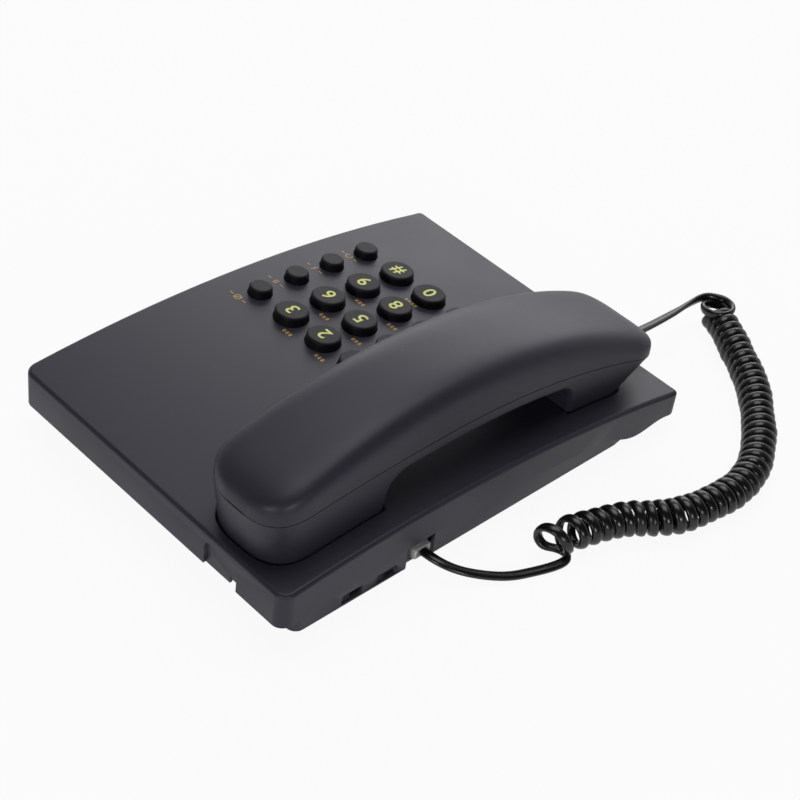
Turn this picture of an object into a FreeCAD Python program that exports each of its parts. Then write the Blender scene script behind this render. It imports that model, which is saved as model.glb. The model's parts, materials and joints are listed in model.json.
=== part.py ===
import FreeCAD, Part
import math
import os

from FreeCAD import Placement, Rotation, Vector

# Millimetres throughout. X runs to the phone's right, Y to its rear, Z up from the desk that it stands on.

# Base covers
base_width = 145.0
base_depth = 200.0
deck_rear_z = 25.0
deck_front_z = 14.5
deck_rise = 8.0
skirt_rear_z = 10.3
skirt_front_z = 3.6
skirt_rise = 8.3
cover_wall = 2.2
cover_corner_r = 5.0
deck_edge_r = 1.6
nose_r = 4.0
fit_gap = 0.3
tub_wall = 2.0
tub_floor = 1.6
tub_rear_inset = 8.3
tub_front_inset = 28.0
tub_corner_r = 4.0
rim_thickness = 2.0
rim_recess = 0.6

# Feet and screws
foot_height = 2.0
foot_r = 5.0
foot_seat = 0.8
foot_inset = 9.0
screw_shank_r = 1.4
screw_head_r = 2.8
screw_head_h = 2.0
screw_grip = 7.0
screw_gap = 0.1
head_recess = 0.4
post_r = 3.2
screw_boss_r = 4.2
screw_boss_h = 5.0
screw_right_x = 44.0
screw_middle_x = -10.0
screw_edge_inset = 6.0

# Keypad, measured on the deck
dial_key_r = 6.75
function_key_r = 4.7
key_proud = 3.4
key_travel = 1.8
key_gap = 0.3
key_edge_r = 1.0
flange_lip = 1.2
flange_thickness = 1.2
flange_gap = 0.3
stem_r = 2.4
stem_length = 2.4
column_pitch = 18.2
row_pitch = 18.5
function_column_inset = 17.7
last_row_inset = 48.5
mat_thickness = 1.0
dome_height = 2.2
dome_top_r = 2.8
dome_base_r = 4.2
board_thickness = 1.6
board_margin = 9.5
board_side_margin = 12.4
board_post_x_margin = 9.4
board_post_r = 2.6
board_screw_r = 1.0
board_screw_head_r = 2.0
board_screw_head_h = 1.2
board_screw_grip = 4.0

# Handset
handset_width = 40.0
handset_length = 197.0
handset_side_inset = 9.6
handset_rear_inset = 2.2
shell_wall = 2.0
finger_height = 14.5
grip_depth = 6.0
grip_crown = 22.0
parting_gap = 0.3
peak_inset = 85.0
parting_rear_drop = 5.50895
parting_front_drop = 23.086065
crown_peak_shift = 5.0
crown_rear_drop = 10.630782
crown_front_drop = 36.06884
section_power = 2.7
rear_round = 18.0
rear_power = 2.8
front_round = 17.5
front_power = 2.4
cup_gap = 0.8
rest_gap = 0.25
ear_cup_depth = 6.6
ear_inset = 3.2
ear_length = 47.0
ear_narrowing = 1.6
ear_front_lean = 0.10
mouth_cup_depth = 5.6
mouth_inset = 24.2
mouth_length = 28.0
mouth_narrowing = 4.0
mouth_rear_lean = 0.12
mouth_round = 8.0
grip_corner_r = 9.0
foot_edge_r = 2.5
grip_edge_r = 2.0

# Parts inside the handset
receiver_r = 13.5
receiver_h = 9.0
gasket_width = 3.5
gasket_h = 1.5
sound_hole_r = 1.1
sound_ring_r = 5.0
microphone_r = 4.6
microphone_h = 6.7
boot_wall = 1.3
boot_floor = 0.8
weight_width = 24.0
weight_length = 44.0
weight_h = 9.0
weight_rib = 2.0
weight_seat_drop = 1.5
handset_screw_span = 63.0
handset_post_r = 3.4
handset_screw_seat = 1.0

# Hook
hook_width = 9.0
hook_length = 12.0
hook_travel = 4.0
hook_gap = 0.35
hook_flange = 1.5
hook_flange_h = 1.6
hook_pin_r = 2.0
hook_offset = 15.0
spring_wire = 0.8
spring_mean_r = 3.4
spring_turns = 5
spring_end_gap = 0.1

# Jacks, plugs and switches
jack_wall = 1.5
plug_width = 7.6
plug_height = 5.0
plug_length = 11.0
plug_gap = 0.15
plug_out = 3.0
jack_depth = 11.0
handset_jack_inset = 65.8
handset_jack_recess = 13.0
line_jack_depth = 13.0
line_slot_width = 9.8
line_slot_height = 6.1
line_slot_depth = 10.5
line_slot_floor = 0.6
line_slot_wall = 1.3
line_jack_x = -40.5
notch_width = 17.0
notch_height = 11.0
notch_depth = 1.1
notch_r = 3.0
notch_slit = 3.2
notch_slit_inset = 1.0
ringer_switch_inset = 34.0
mode_switch_inset = 50.0
switch_window_length = 9.4
switch_window_height = 4.0
switch_body_depth = 6.0
switch_body_margin = 1.6
knob_length = 3.6
knob_gap = 0.3
knob_tongue = 1.6
knob_reveal = 0.4
buzzer_r = 13.0
buzzer_h = 5.0
buzzer_x = 18.0
buzzer_y = 52.0
vent_r = 1.4
vent_ring_r = 7.0

# Handset cord
cord_d = 2.4
coil_outer_d = 13.0
coil_turns = 49
coil_last_turn = 0.125
loose_pitch = 5.5
loose_turns = 4.0
floor_gap = 0.2

half_w = base_width / 2
half_d = base_depth / 2
tub_half = half_w - cover_wall - fit_gap
tub_rear = half_d - tub_rear_inset
tub_front = -half_d + tub_front_inset
floor_z = foot_height + tub_floor
handset_x = -half_w + handset_side_inset + handset_width / 2
handset_rear = half_d - handset_rear_inset
handset_front = handset_rear - handset_length
peak_y = half_d - peak_inset


class Arch:
    """Arc in the YZ plane that spans the base's depth with a given rise over its chord."""

    def __init__(self, rear_z, front_z, rise):
        chord = math.hypot(base_depth, rear_z - front_z)
        self.radius = (chord ** 2 / 4 + rise ** 2) / (2 * rise)
        drop = self.radius - rise
        slope = math.atan2(rear_z - front_z, base_depth)
        self.y = math.sin(slope) * drop
        self.z = (rear_z + front_z) / 2 - math.cos(slope) * drop

    def height(self, y, inward=0.0):
        return self.z + math.sqrt((self.radius - inward) ** 2 - (y - self.y) ** 2)

    def point(self, y, inward=0.0, lift=0.0):
        return Vector(0, y, self.height(y, inward) + lift)

    def edge(self, y0, y1, inward=0.0, lift=0.0):
        points = [self.point(y, inward, lift) for y in (y0, (y0 + y1) / 2, y1)]
        return Part.Arc(*points).toShape()


deck = Arch(deck_rear_z, deck_front_z, deck_rise)
skirt = Arch(skirt_rear_z, skirt_front_z, skirt_rise)


def line(a, b):
    return Part.LineSegment(a, b).toShape()


def box(x0, x1, y0, y1, z0, z1):
    return Part.makeBox(x1 - x0, y1 - y0, z1 - z0, Vector(x0, y0, z0))


def cylinder(x, y, z0, z1, r):
    return Part.makeCylinder(r, z1 - z0, Vector(x, y, z0))


def plan_wire(x0, x1, y0, y1, front_r, rear_r, z):
    """Rectangle with rounded front and rear corners, in the plane at height z."""
    corners = ((x1 - front_r, y0 + front_r, front_r, -90), (x1 - rear_r, y1 - rear_r, rear_r, 0),
               (x0 + rear_r, y1 - rear_r, rear_r, 90), (x0 + front_r, y0 + front_r, front_r, 180))
    arcs = []
    for x, y, r, start in corners:
        turn = [math.radians(start + step) for step in (0, 45, 90)]
        arcs.append([Vector(x + r * math.cos(a), y + r * math.sin(a), z) for a in turn])
    edges = []
    for arc, following in zip(arcs, arcs[1:] + arcs[:1]):
        edges.append(Part.Arc(*arc).toShape())
        edges.append(line(arc[2], following[0]))
    return Part.Wire(edges)


def plan_prism(x0, x1, y0, y1, r, z0, z1):
    return Part.Face(plan_wire(x0, x1, y0, y1, r, r, z0)).extrude(Vector(0, 0, z1 - z0))


def side_prism(edges, width, x=0.0):
    """Solid of a closed YZ outline, extruded over a width that is centred on x."""
    face = Part.Face(Part.Wire(Part.__sortEdges__(edges)))
    face.translate(Vector(x - width / 2, 0, 0))
    return face.extrude(Vector(width, 0, 0))


def round_edges(shape, z):
    """Circular edges of a shape that lie at height z."""
    flat = [edge for edge in shape.Edges if edge.BoundBox.ZMax - edge.BoundBox.ZMin < 0.01]
    return [edge for edge in flat if abs(edge.CenterOfMass.z - z) < 0.01]


def screw(x, y, head_z, shank_r, head_r, head_h, grip):
    """Pan-head screw that points up, with the underside of its head at head_z."""
    head = cylinder(x, y, head_z - head_h, head_z, head_r)
    head = head.makeFillet(head_h * 0.4, round_edges(head, head_z - head_h))
    return head.fuse(cylinder(x, y, head_z, head_z + grip, shank_r)).removeSplitter()


def ring_points(x, y, r, count):
    turns = [2 * math.pi * i / count for i in range(count)]
    return [(x, y)] + [(x + r * math.cos(a), y + r * math.sin(a)) for a in turns]


# Handset: a crowned upper shell over a shallow lower hull, with a boss at each end

crown_y = peak_y + crown_peak_shift
parting_z = deck.height(peak_y) + finger_height + grip_depth
crown_z = parting_z + grip_crown


def peaked(y, peak, top, rear_drop, front_drop):
    """Height at y of a line that falls from its peak by one arc to each end of the handset."""
    reach, drop = (handset_rear - peak, rear_drop) if y > peak else (peak - handset_front, front_drop)
    radius = (reach ** 2 + drop ** 2) / (2 * drop)
    return top - radius + math.sqrt(radius ** 2 - (y - peak) ** 2)


def parting_height(y):
    return peaked(y, peak_y, parting_z, parting_rear_drop, parting_front_drop)


def crown_height(y):
    return peaked(y, crown_y, crown_z, crown_rear_drop, crown_front_drop) - parting_height(y)


def below_parting(lift):
    """Everything under the parting line of the two handset shells."""
    reach = handset_length * 0.1
    ends = [handset_front - reach, (handset_front - reach + peak_y) / 2, peak_y,
            (handset_rear + reach + peak_y) / 2, handset_rear + reach]
    curve = [Vector(0, y, parting_height(y) + lift) for y in ends]
    low = [Vector(0, ends[4], -half_d), Vector(0, ends[0], -half_d)]
    edges = [Part.Arc(*curve[:3]).toShape(), Part.Arc(*curve[2:]).toShape(),
             line(curve[4], low[0]), line(low[0], low[1]), line(low[1], curve[0])]
    return side_prism(edges, base_width, handset_x)


def end_taper(y, rear, front):
    into_rear = max(0.0, (y - (rear - rear_round)) / rear_round)
    into_front = max(0.0, (front + front_round - y) / front_round)
    return ((1 - into_rear ** rear_power) ** (1 / rear_power)
            * (1 - into_front ** front_power) ** (1 / front_power))


def superellipse(angle, power):
    """Point of a unit superellipse, by its angle from the first axis."""
    cos, sin = math.cos(angle), math.sin(angle)
    return math.copysign(abs(cos) ** (2 / power), cos), math.copysign(abs(sin) ** (2 / power), sin)


def crown_hull(grow):
    """Loft of rounded sections: the handset above its parting line, grown on all sides."""
    rear = handset_rear + grow
    front = handset_front - grow
    steps = (0.985, 0.94, 0.85, 0.7, 0.5, 0.25, 0.0)
    places = [front + front_round * (1 - step) for step in steps]
    section_count = 16
    first, last = places[-1], rear - rear_round
    places += [first + (last - first) * i / (section_count + 1) for i in range(1, section_count + 1)]
    places += [rear - rear_round * (1 - step) for step in reversed(steps)]
    overlap = Vector(0, 0, grow - shell_wall)
    wires = []
    for y in places:
        taper = end_taper(y, rear, front)
        reach = (handset_width / 2 + grow) * taper
        depth = (crown_height(y) + grow) * taper
        points = []
        for i in range(17):
            across, up = superellipse(math.pi * i / 16, section_power)
            points.append(Vector(handset_x + across * reach, y, parting_height(y) + up * depth))
        curve = Part.BSplineCurve()
        curve.interpolate(points)
        edges = [curve.toShape(), line(points[-1], points[-1] + overlap),
                 line(points[-1] + overlap, points[0] + overlap), line(points[0] + overlap, points[0])]
        wires.append(Part.Wire(edges))
    return Part.makeLoft(wires, True, False)


ear_rear = handset_rear - ear_inset
ear_front = ear_rear - ear_length
ear_y = (ear_rear + ear_front) / 2
ear_floor_z = deck.height(ear_y) - ear_cup_depth
ear_foot_z = ear_floor_z + rest_gap
mouth_front = handset_front + mouth_inset
mouth_rear = mouth_front + mouth_length
mouth_y = (mouth_rear + mouth_front) / 2
mouth_floor_z = deck.height(mouth_y) - mouth_cup_depth
mouth_foot_z = mouth_floor_z + rest_gap
grip_y = (ear_front + mouth_rear) / 2


def mix(a, b, share):
    return a + (b - a) * share


def rim_runs(grow):
    """Runs of point pairs round the lower body: one on its parting line, one below it at its foot."""
    slope = mouth_inset / (parting_height(handset_front) - mouth_foot_z)
    rear, front = handset_rear + grow, handset_front - grow * math.hypot(1, slope)
    half = handset_width / 2 + grow
    ear_half, mouth_half = half - ear_narrowing / 2, half - mouth_narrowing / 2
    top_rear, top_front = rear - rear_round, front + front_round
    foot_rear, foot_front = top_rear - ear_inset, front + mouth_inset + mouth_round

    def pair(x, y, foot_x, foot_y, foot_z):
        return Vector(handset_x + x, y, parting_height(y)), Vector(handset_x + foot_x, foot_y, foot_z)

    def side(sign, share):
        return pair(sign * half, mix(top_rear, top_front, share), sign * mix(ear_half, mouth_half, share),
                    mix(foot_rear, foot_front, share), mix(ear_foot_z, mouth_foot_z, share))

    rear_run, front_run = [], []
    for i in range(17):
        x, y = superellipse(math.pi * i / 16, rear_power)
        rear_run.append(pair(half * x, top_rear + rear_round * y, ear_half * x, foot_rear + rear_round * y,
                             ear_foot_z))
        x, y = superellipse(math.pi * (1 + i / 16), front_power)
        front_run.append(pair(half * x, top_front + front_round * y, mouth_half * x,
                              foot_front + mouth_round * y, mouth_foot_z))
    shares = [i / 10 for i in range(11)]
    return [rear_run, [side(-1, s) for s in shares], front_run, [side(1, s) for s in reversed(shares)]]


def rim_wire(grow, z):
    """Outline of the lower body's walls at height z, on the straight lines through their point pairs."""
    edges = []
    for run in rim_runs(grow):
        spans = [(b[0] - a[0]).Length for a, b in zip(run, run[1:])]
        stops = [sum(spans[:i]) / sum(spans) for i in range(len(run))]
        points = [top + (top - foot) * ((z - top.z) / (top.z - foot.z)) for top, foot in run]
        curve = Part.BSplineCurve()
        curve.interpolate(Points=points, Parameters=stops)
        edges.append(curve.toShape())
    return Part.Wire(edges)


def boss_corner(foot, lean, grow):
    """Where the face that leans up from a boss's foot meets the underside of the grip."""
    y = foot.y
    for step in range(12):
        y = foot.y + lean * (parting_height(y) - grip_depth - grow - foot.z)
    return Vector(0, y, parting_height(y) - grip_depth - grow)


def grip_profile(grow, sink):
    """Everything above the handset's lower side: two flat feet and the arched underside between them."""
    ear = Vector(0, ear_front - grow, ear_foot_z - sink)
    mouth = Vector(0, mouth_rear + grow, mouth_foot_z - sink)
    ear_top = boss_corner(ear, -ear_front_lean, grow)
    mouth_top = boss_corner(mouth, mouth_rear_lean, grow)
    arch = [Vector(0, y, parting_height(y) - grip_depth - grow)
            for y in ((ear_top.y + peak_y) / 2, peak_y, (mouth_top.y + peak_y) / 2)]
    rear, front = handset_rear + handset_length, handset_front - handset_length
    ends = [Vector(0, rear, crown_z), Vector(0, rear, ear.z),
            Vector(0, front, mouth.z), Vector(0, front, crown_z)]
    edges = [line(ends[0], ends[1]), line(ends[1], ear), line(ear, ear_top),
             Part.Arc(ear_top, arch[0], arch[1]).toShape(), Part.Arc(arch[1], arch[2], mouth_top).toShape(),
             line(mouth_top, mouth), line(mouth, ends[2]), line(ends[2], ends[3]), line(ends[3], ends[0])]
    solid = side_prism(edges, 2 * handset_width, handset_x)
    solid = solid.makeFillet(grip_corner_r - grow, cross_edges(solid, (ear_top, mouth_top)))
    if foot_edge_r + grow > 0:
        solid = solid.makeFillet(foot_edge_r + grow, cross_edges(solid, (ear, mouth)))
    return solid


def cross_edges(solid, corners):
    """Edges of a side prism that run across it at the given corners of its outline."""
    found = []
    for edge in solid.Edges:
        ends = [vertex.Point for vertex in edge.Vertexes]
        if any(all(math.hypot(p.y - c.y, p.z - c.z) < 0.001 for p in ends) for c in corners):
            found.append(edge)
    return found


def lower_body(grow, sink):
    """Handset below its parting line, grown sideways by grow and downwards by sink."""
    low = mouth_floor_z - 2 * cover_wall
    walls = Part.makeLoft([rim_wire(grow, low), rim_wire(grow, parting_z + 1)], True, True)
    return walls.common(grip_profile(grow, sink))


def under_edges(body):
    """Edges between the walls of the lower body and its underside."""
    found = []
    for edge in body.Edges:
        middle = edge.valueAt((edge.FirstParameter + edge.LastParameter) / 2)
        below = middle.z < parting_height(middle.y) - shell_wall / 2
        if below and edge.BoundBox.ZMax < parting_z and edge.Curve.TypeId != "Part::GeomLine":
            found.append(edge)
    return found


handset_posts = [(handset_x, grip_y + side * handset_screw_span / 2) for side in (-1, 1)]
weight_y = grip_y
weight_seat_z = parting_height(weight_y - weight_length / 2) - weight_seat_drop
plug_z = mouth_foot_z + shell_wall + jack_wall + plug_gap + plug_height / 2
handset_jack_front = mouth_front + shell_wall + fit_gap
handset_plug_front = handset_jack_front - plug_out - shell_wall
microphone_y = mouth_rear - shell_wall - microphone_r - boot_wall - 2 * fit_gap


def handset_outer_shell():
    shell = crown_hull(0.0).cut(crown_hull(-shell_wall)).cut(below_parting(0.0))
    for x, y in handset_posts:
        low = parting_height(y) - handset_screw_seat
        high = parting_height(y) + crown_height(y) - shell_wall / 2
        post = cylinder(x, y, low, high, handset_post_r)
        shell = shell.fuse(post.cut(cylinder(x, y, low, low + screw_grip, screw_shank_r + screw_gap)))
    return shell


def handset_inner_shell():
    outside = lower_body(0.0, 0.0)
    outside = outside.makeFillet(grip_edge_r, under_edges(outside))
    inside = lower_body(-shell_wall, -shell_wall)
    trim = below_parting(-parting_gap)
    extra = []
    for x, y in handset_posts:
        extra.append(cylinder(x, y, 0, parting_height(y) - handset_screw_seat, handset_post_r + 0.8))
    for side in (-1, 1):
        rib_y = weight_y + side * (weight_length / 2 - weight_rib)
        half = weight_width / 2
        extra.append(box(handset_x - half, handset_x + half, rib_y - weight_rib / 2, rib_y + weight_rib / 2,
                         0, weight_seat_z))
    shell = outside.cut(inside).fuse(union(extra).common(outside)).common(trim)
    for x, y in handset_posts:
        seat = parting_height(y) - handset_screw_seat
        head_z = parting_height(y) - grip_depth + screw_head_h + head_recess
        shell = shell.cut(cylinder(x, y, 0, head_z, screw_head_r + fit_gap))
        shell = shell.cut(cylinder(x, y, head_z - 1, seat + 1, screw_shank_r + fit_gap))
    for x, y in ring_points(handset_x, ear_y, sound_ring_r, 6):
        shell = shell.cut(cylinder(x, y, ear_floor_z - 1, ear_floor_z + 2 * shell_wall, sound_hole_r))
    for x, y in ring_points(handset_x, microphone_y, sound_hole_r * 2.6, 3)[1:]:
        shell = shell.cut(cylinder(x, y, mouth_floor_z - 1, mouth_floor_z + 2 * shell_wall, sound_hole_r))
    half = plug_width / 2 + fit_gap + plug_gap
    window = box(handset_x - half, handset_x + half, handset_front, handset_jack_front,
                 plug_z - plug_height / 2 - fit_gap, plug_z + plug_height / 2 + fit_gap)
    return shell.cut(window)


def union(shapes):
    whole = shapes[0]
    for shape in shapes[1:]:
        whole = whole.fuse(shape)
    return whole


def socket(length_axis, x, y, z, depth):
    """Modular jack body with its socket; x, y is the middle of its open face, z the socket's middle."""
    half = plug_width / 2 + plug_gap
    outer = half + jack_wall
    low, high = z - plug_height / 2 - plug_gap, z + plug_height / 2 + plug_gap
    if length_axis == "x":
        body = box(x, x + depth, y - outer, y + outer, low - jack_wall, high + jack_wall)
        return body.cut(box(x - 1, x + depth - jack_wall, y - half, y + half, low, high))
    body = box(x - outer, x + outer, y, y + depth, low - jack_wall, high + jack_wall)
    return body.cut(box(x - half, x + half, y - 1, y + depth - jack_wall, low, high))


def modular_plug(length_axis, x, y, z):
    """Modular plug from its cord end at x, y, with its latch along the top."""
    half = plug_width / 2
    low, high = z - plug_height / 2, z + plug_height / 2
    body_top = high - plug_height * 0.12
    step = plug_length * 0.35
    if length_axis == "x":
        body = box(x, x + plug_length, y - half, y + half, low, body_top)
        tab = box(x + step, x + plug_length, y - half / 2, y + half / 2, z, high)
    else:
        body = box(x - half, x + half, y, y + plug_length, low, body_top)
        tab = box(x - half / 2, x + half / 2, y + step, y + plug_length, z, high)
    return body.fuse(tab).removeSplitter()


def handset_parts():
    ear_inner = ear_foot_z + shell_wall
    mouth_inner = mouth_foot_z + shell_wall
    gasket = cylinder(handset_x, ear_y, ear_inner, ear_inner + gasket_h, receiver_r)
    gasket = gasket.cut(cylinder(handset_x, ear_y, 0, parting_z, receiver_r - gasket_width))
    receiver_z = ear_inner + gasket_h
    receiver = cylinder(handset_x, ear_y, receiver_z, receiver_z + receiver_h * 0.6, receiver_r)
    magnet = cylinder(handset_x, ear_y, receiver_z, receiver_z + receiver_h, receiver_r * 0.6)
    boot = cylinder(handset_x, microphone_y, mouth_inner, mouth_inner + boot_floor + microphone_h,
                    microphone_r + boot_wall)
    boot = boot.cut(cylinder(handset_x, microphone_y, mouth_inner + boot_floor, parting_z, microphone_r))
    boot = boot.cut(cylinder(handset_x, microphone_y, 0, parting_z, microphone_r - boot_wall))
    microphone = cylinder(handset_x, microphone_y, mouth_inner + boot_floor,
                          mouth_inner + boot_floor + microphone_h, microphone_r)
    half_x, half_y = weight_width / 2, weight_length / 2
    weight = box(handset_x - half_x, handset_x + half_x, weight_y - half_y, weight_y + half_y,
                 weight_seat_z, weight_seat_z + weight_h)
    screws = []
    for x, y in handset_posts:
        head_z = parting_height(y) - grip_depth + screw_head_h + head_recess
        screws.append(screw(x, y, head_z, screw_shank_r, screw_head_r, screw_head_h, screw_grip))
    return {
        "handset_outer_shell": handset_outer_shell(),
        "handset_inner_shell": handset_inner_shell(),
        "receiver_gasket": gasket,
        "receiver": receiver.fuse(magnet).removeSplitter(),
        "microphone_boot": boot,
        "microphone": microphone,
        "handset_weight": weight.makeChamfer(1.0, weight.Edges),
        "handset_screws": Part.Compound(screws),
        "handset_jack": socket("y", handset_x, handset_jack_front, plug_z, jack_depth),
        "handset_plug": modular_plug("y", handset_x, handset_plug_front, plug_z),
    }


# Keypad: everything in it is square to the board, which lies along the deck's slope there

last_row_y = -half_d + last_row_inset
first_row_y = last_row_y + 3 * row_pitch
function_x = half_w - function_column_inset
keypad_y = first_row_y - 1.5 * row_pitch
keypad_x = function_x - 1.5 * column_pitch
keypad_slope = math.atan2(deck.height(first_row_y) - deck.height(last_row_y), first_row_y - last_row_y)
keypad_frame = Placement(Vector(keypad_x, keypad_y, deck.height(keypad_y)),
                         Rotation(Vector(1, 0, 0), math.degrees(keypad_slope)))
stem_foot_z = -cover_wall - flange_gap - flange_thickness - stem_length
board_top_z = stem_foot_z - dome_height - mat_thickness - 0.05
board_half_x = 1.5 * column_pitch + board_side_margin
board_half_y = 1.5 * row_pitch + board_margin
board_post_x = 1.5 * column_pitch + board_post_x_margin
board_post_y = 1.5 * row_pitch + board_margin - board_post_r - 0.6
key_names = (("1", "2", "3", "mute"), ("4", "5", "6", "pause"), ("7", "8", "9", "flash"),
             ("star", "0", "hash", "redial"))


def on_board(shape):
    moved = shape.copy()
    moved.Placement = keypad_frame.multiply(moved.Placement)
    return moved


def deck_on_board(local_y):
    """Height of the deck above the keypad frame's own plane, at a distance along the slope."""
    centre = keypad_frame.inverse().multVec(Vector(0, deck.y, deck.z))
    return centre.z + math.sqrt(deck.radius ** 2 - (local_y - centre.y) ** 2)


def key_places():
    for row, names in enumerate(key_names):
        for column, name in enumerate(names):
            radius = function_key_r if column == 3 else dial_key_r
            yield name, (column - 1.5) * column_pitch, (1.5 - row) * row_pitch, radius


def key_cap(x, y, radius):
    top = deck_on_board(y) + key_proud
    lip = radius + flange_lip
    under = min(deck_on_board(y - lip), deck_on_board(y + lip)) - cover_wall - flange_gap
    cap = cylinder(x, y, under - flange_thickness, top, radius)
    cap = cap.makeFillet(key_edge_r, round_edges(cap, top))
    flange = cylinder(x, y, under - flange_thickness, under, lip)
    stem = cylinder(x, y, stem_foot_z, under - flange_thickness, stem_r)
    return on_board(cap.fuse(flange).fuse(stem).removeSplitter())


def board_posts(r, z0, z1):
    places = [(i * board_post_x, j * board_post_y) for i in (-1, 1) for j in (-1, 1)]
    return [cylinder(x, y, z0, z1, r) for x, y in places]


def keypad_parts():
    parts = {}
    half_x, half_y = 2 * column_pitch - stem_r, 2 * row_pitch - stem_r
    mat_top = board_top_z + mat_thickness
    mat = box(-half_x, half_x, -half_y, half_y, board_top_z, mat_top)
    for name, x, y, radius in key_places():
        kind = "function_key" if radius == function_key_r else "dial_key"
        parts[kind + "_" + name] = key_cap(x, y, radius)
        mat = mat.fuse(Part.makeCone(dome_base_r, dome_top_r, dome_height, Vector(x, y, mat_top)))
    parts["keypad_mat"] = on_board(mat)
    under = board_top_z - board_thickness
    board = box(-board_half_x, board_half_x, -board_half_y, board_half_y, under, board_top_z)
    for hole in board_posts(board_screw_r + screw_gap, under - 1, 0):
        board = board.cut(hole)
    parts["circuit_board"] = on_board(board)
    chips = [box(-10, 8, -6, 4, under - 2.6, under), box(14, 25, 8, 12, under - 3.2, under)]
    chips += [cylinder(x, -16, under - 4.6, under, 2.6) for x in (-22, -14, 18)]
    parts["board_components"] = on_board(Part.Compound(chips))
    screws = [screw(i * board_post_x, j * board_post_y, under, board_screw_r, board_screw_head_r,
                    board_screw_head_h, board_screw_grip) for i in (-1, 1) for j in (-1, 1)]
    parts["board_screws"] = on_board(Part.Compound(screws))
    return parts


# Base

screw_places = [(x, y) for x in (screw_right_x, screw_middle_x)
                for y in (tub_rear - screw_edge_inset, tub_front + screw_edge_inset)]
screw_places.append((handset_x, peak_y))
foot_places = [(side * (tub_half - foot_inset), y) for side in (-1, 1)
               for y in (tub_rear - foot_inset, tub_front + foot_inset)]
boss_top_z = foot_height + screw_boss_h
hook_y = ear_y - hook_offset
wall_x = -tub_half
inner_x = wall_x + tub_wall
cord_jack_y = half_d - handset_jack_inset
cord_jack_z = floor_z + jack_wall + plug_gap + plug_height / 2
base_plug_x = inner_x - plug_out
switch_places = {"ringer": half_d - ringer_switch_inset, "dial_mode": half_d - mode_switch_inset}
switch_z = foot_height + 0.9 + switch_window_height / 2
switch_travel = switch_window_length - knob_length - 2 * knob_gap
line_slot_z = floor_z + line_slot_floor


def cover_outline():
    nose = Vector(0, -half_d + nose_r, skirt_front_z + nose_r)
    tip = Vector(0, -half_d, nose.z)
    round_mid = nose + Vector(0, -nose_r * math.sqrt(0.5), -nose_r * math.sqrt(0.5))
    under = skirt.point(-half_d + nose_r)
    rear_low, rear_high, front_high = skirt.point(half_d), deck.point(half_d), deck.point(-half_d)
    return [line(rear_low, rear_high), deck.edge(half_d, -half_d), line(front_high, tip),
            Part.Arc(tip, round_mid, under).toShape(), skirt.edge(-half_d + nose_r, half_d)]


def cover_body():
    body = side_prism(cover_outline(), base_width)
    plan = plan_prism(-half_w, half_w, -half_d, half_d, cover_corner_r, -foot_height, 2 * deck_rear_z)
    body = body.common(plan)
    rim = []
    for edge in body.Edges:
        middle = edge.valueAt((edge.FirstParameter + edge.LastParameter) / 2)
        if abs(middle.z - deck.height(middle.y)) < 0.05:
            rim.append(edge)
    return body.makeFillet(deck_edge_r, rim)


def cover_cavity():
    rear, front = half_d - cover_wall, -half_d + cover_wall
    low = -foot_height
    edges = [line(Vector(0, rear, low), deck.point(rear, cover_wall)), deck.edge(rear, front, cover_wall),
             line(deck.point(front, cover_wall), Vector(0, front, low)),
             line(Vector(0, front, low), Vector(0, rear, low))]
    inside = half_w - cover_wall
    plan = plan_prism(-inside, inside, front, rear, cover_corner_r - cover_wall, low - 1, 2 * deck_rear_z)
    return side_prism(edges, base_width).common(plan)


def base_top_cover():
    cover = cover_body().cut(cover_cavity())
    additions = [lower_body(cup_gap + cover_wall, rest_gap + cover_wall)]
    for x, y in screw_places:
        additions.append(cylinder(x, y, boss_top_z, 2 * deck_rear_z, post_r))
    additions += [on_board(post) for post in board_posts(board_post_r, board_top_z, deck_rear_z)]
    rear, front = half_d - cover_wall / 2, -half_d + cover_wall / 2
    corners = [deck.point(rear, cover_wall / 2), Vector(0, rear, 0), Vector(0, front, 0),
               deck.point(front, cover_wall / 2)]
    outline = [line(a, b) for a, b in zip(corners, corners[1:])] + [deck.edge(rear, front, cover_wall / 2)]
    under_deck = side_prism(outline, base_width - cover_wall)
    cover = cover.fuse(union(additions).common(under_deck))
    cover = cover.cut(lower_body(cup_gap, rest_gap))
    for name, x, y, radius in key_places():
        cover = cover.cut(on_board(cylinder(x, y, board_top_z, deck_rear_z, radius + key_gap)))
    for hole in board_posts(board_screw_r + screw_gap, board_top_z - 1, board_top_z + board_screw_grip):
        cover = cover.cut(on_board(hole))
    for x, y in screw_places:
        pilot = cylinder(x, y, boss_top_z - 1, boss_top_z + screw_grip, screw_shank_r + screw_gap)
        cover = cover.cut(pilot)
    half_x, half_y = hook_width / 2 + hook_gap, hook_length / 2 + hook_gap
    cover = cover.cut(box(handset_x - half_x, handset_x + half_x, hook_y - half_y, hook_y + half_y,
                          boss_top_z, ear_floor_z + 1))
    left, right = line_jack_x - notch_width / 2, line_jack_x + notch_width / 2
    notch = plan_prism(left, right, -notch_height, notch_height, notch_r, 0, 2 * notch_depth)
    notch.rotate(Vector(0, 0, 0), Vector(1, 0, 0), 90)
    notch.translate(Vector(0, half_d + notch_depth, skirt_rear_z))
    slit_left = left + notch_slit_inset
    slit = box(slit_left, slit_left + notch_slit, half_d - 2 * cover_wall, half_d,
               0, skirt_rear_z + notch_slit)
    return cover.cut(notch).cut(slit)


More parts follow.
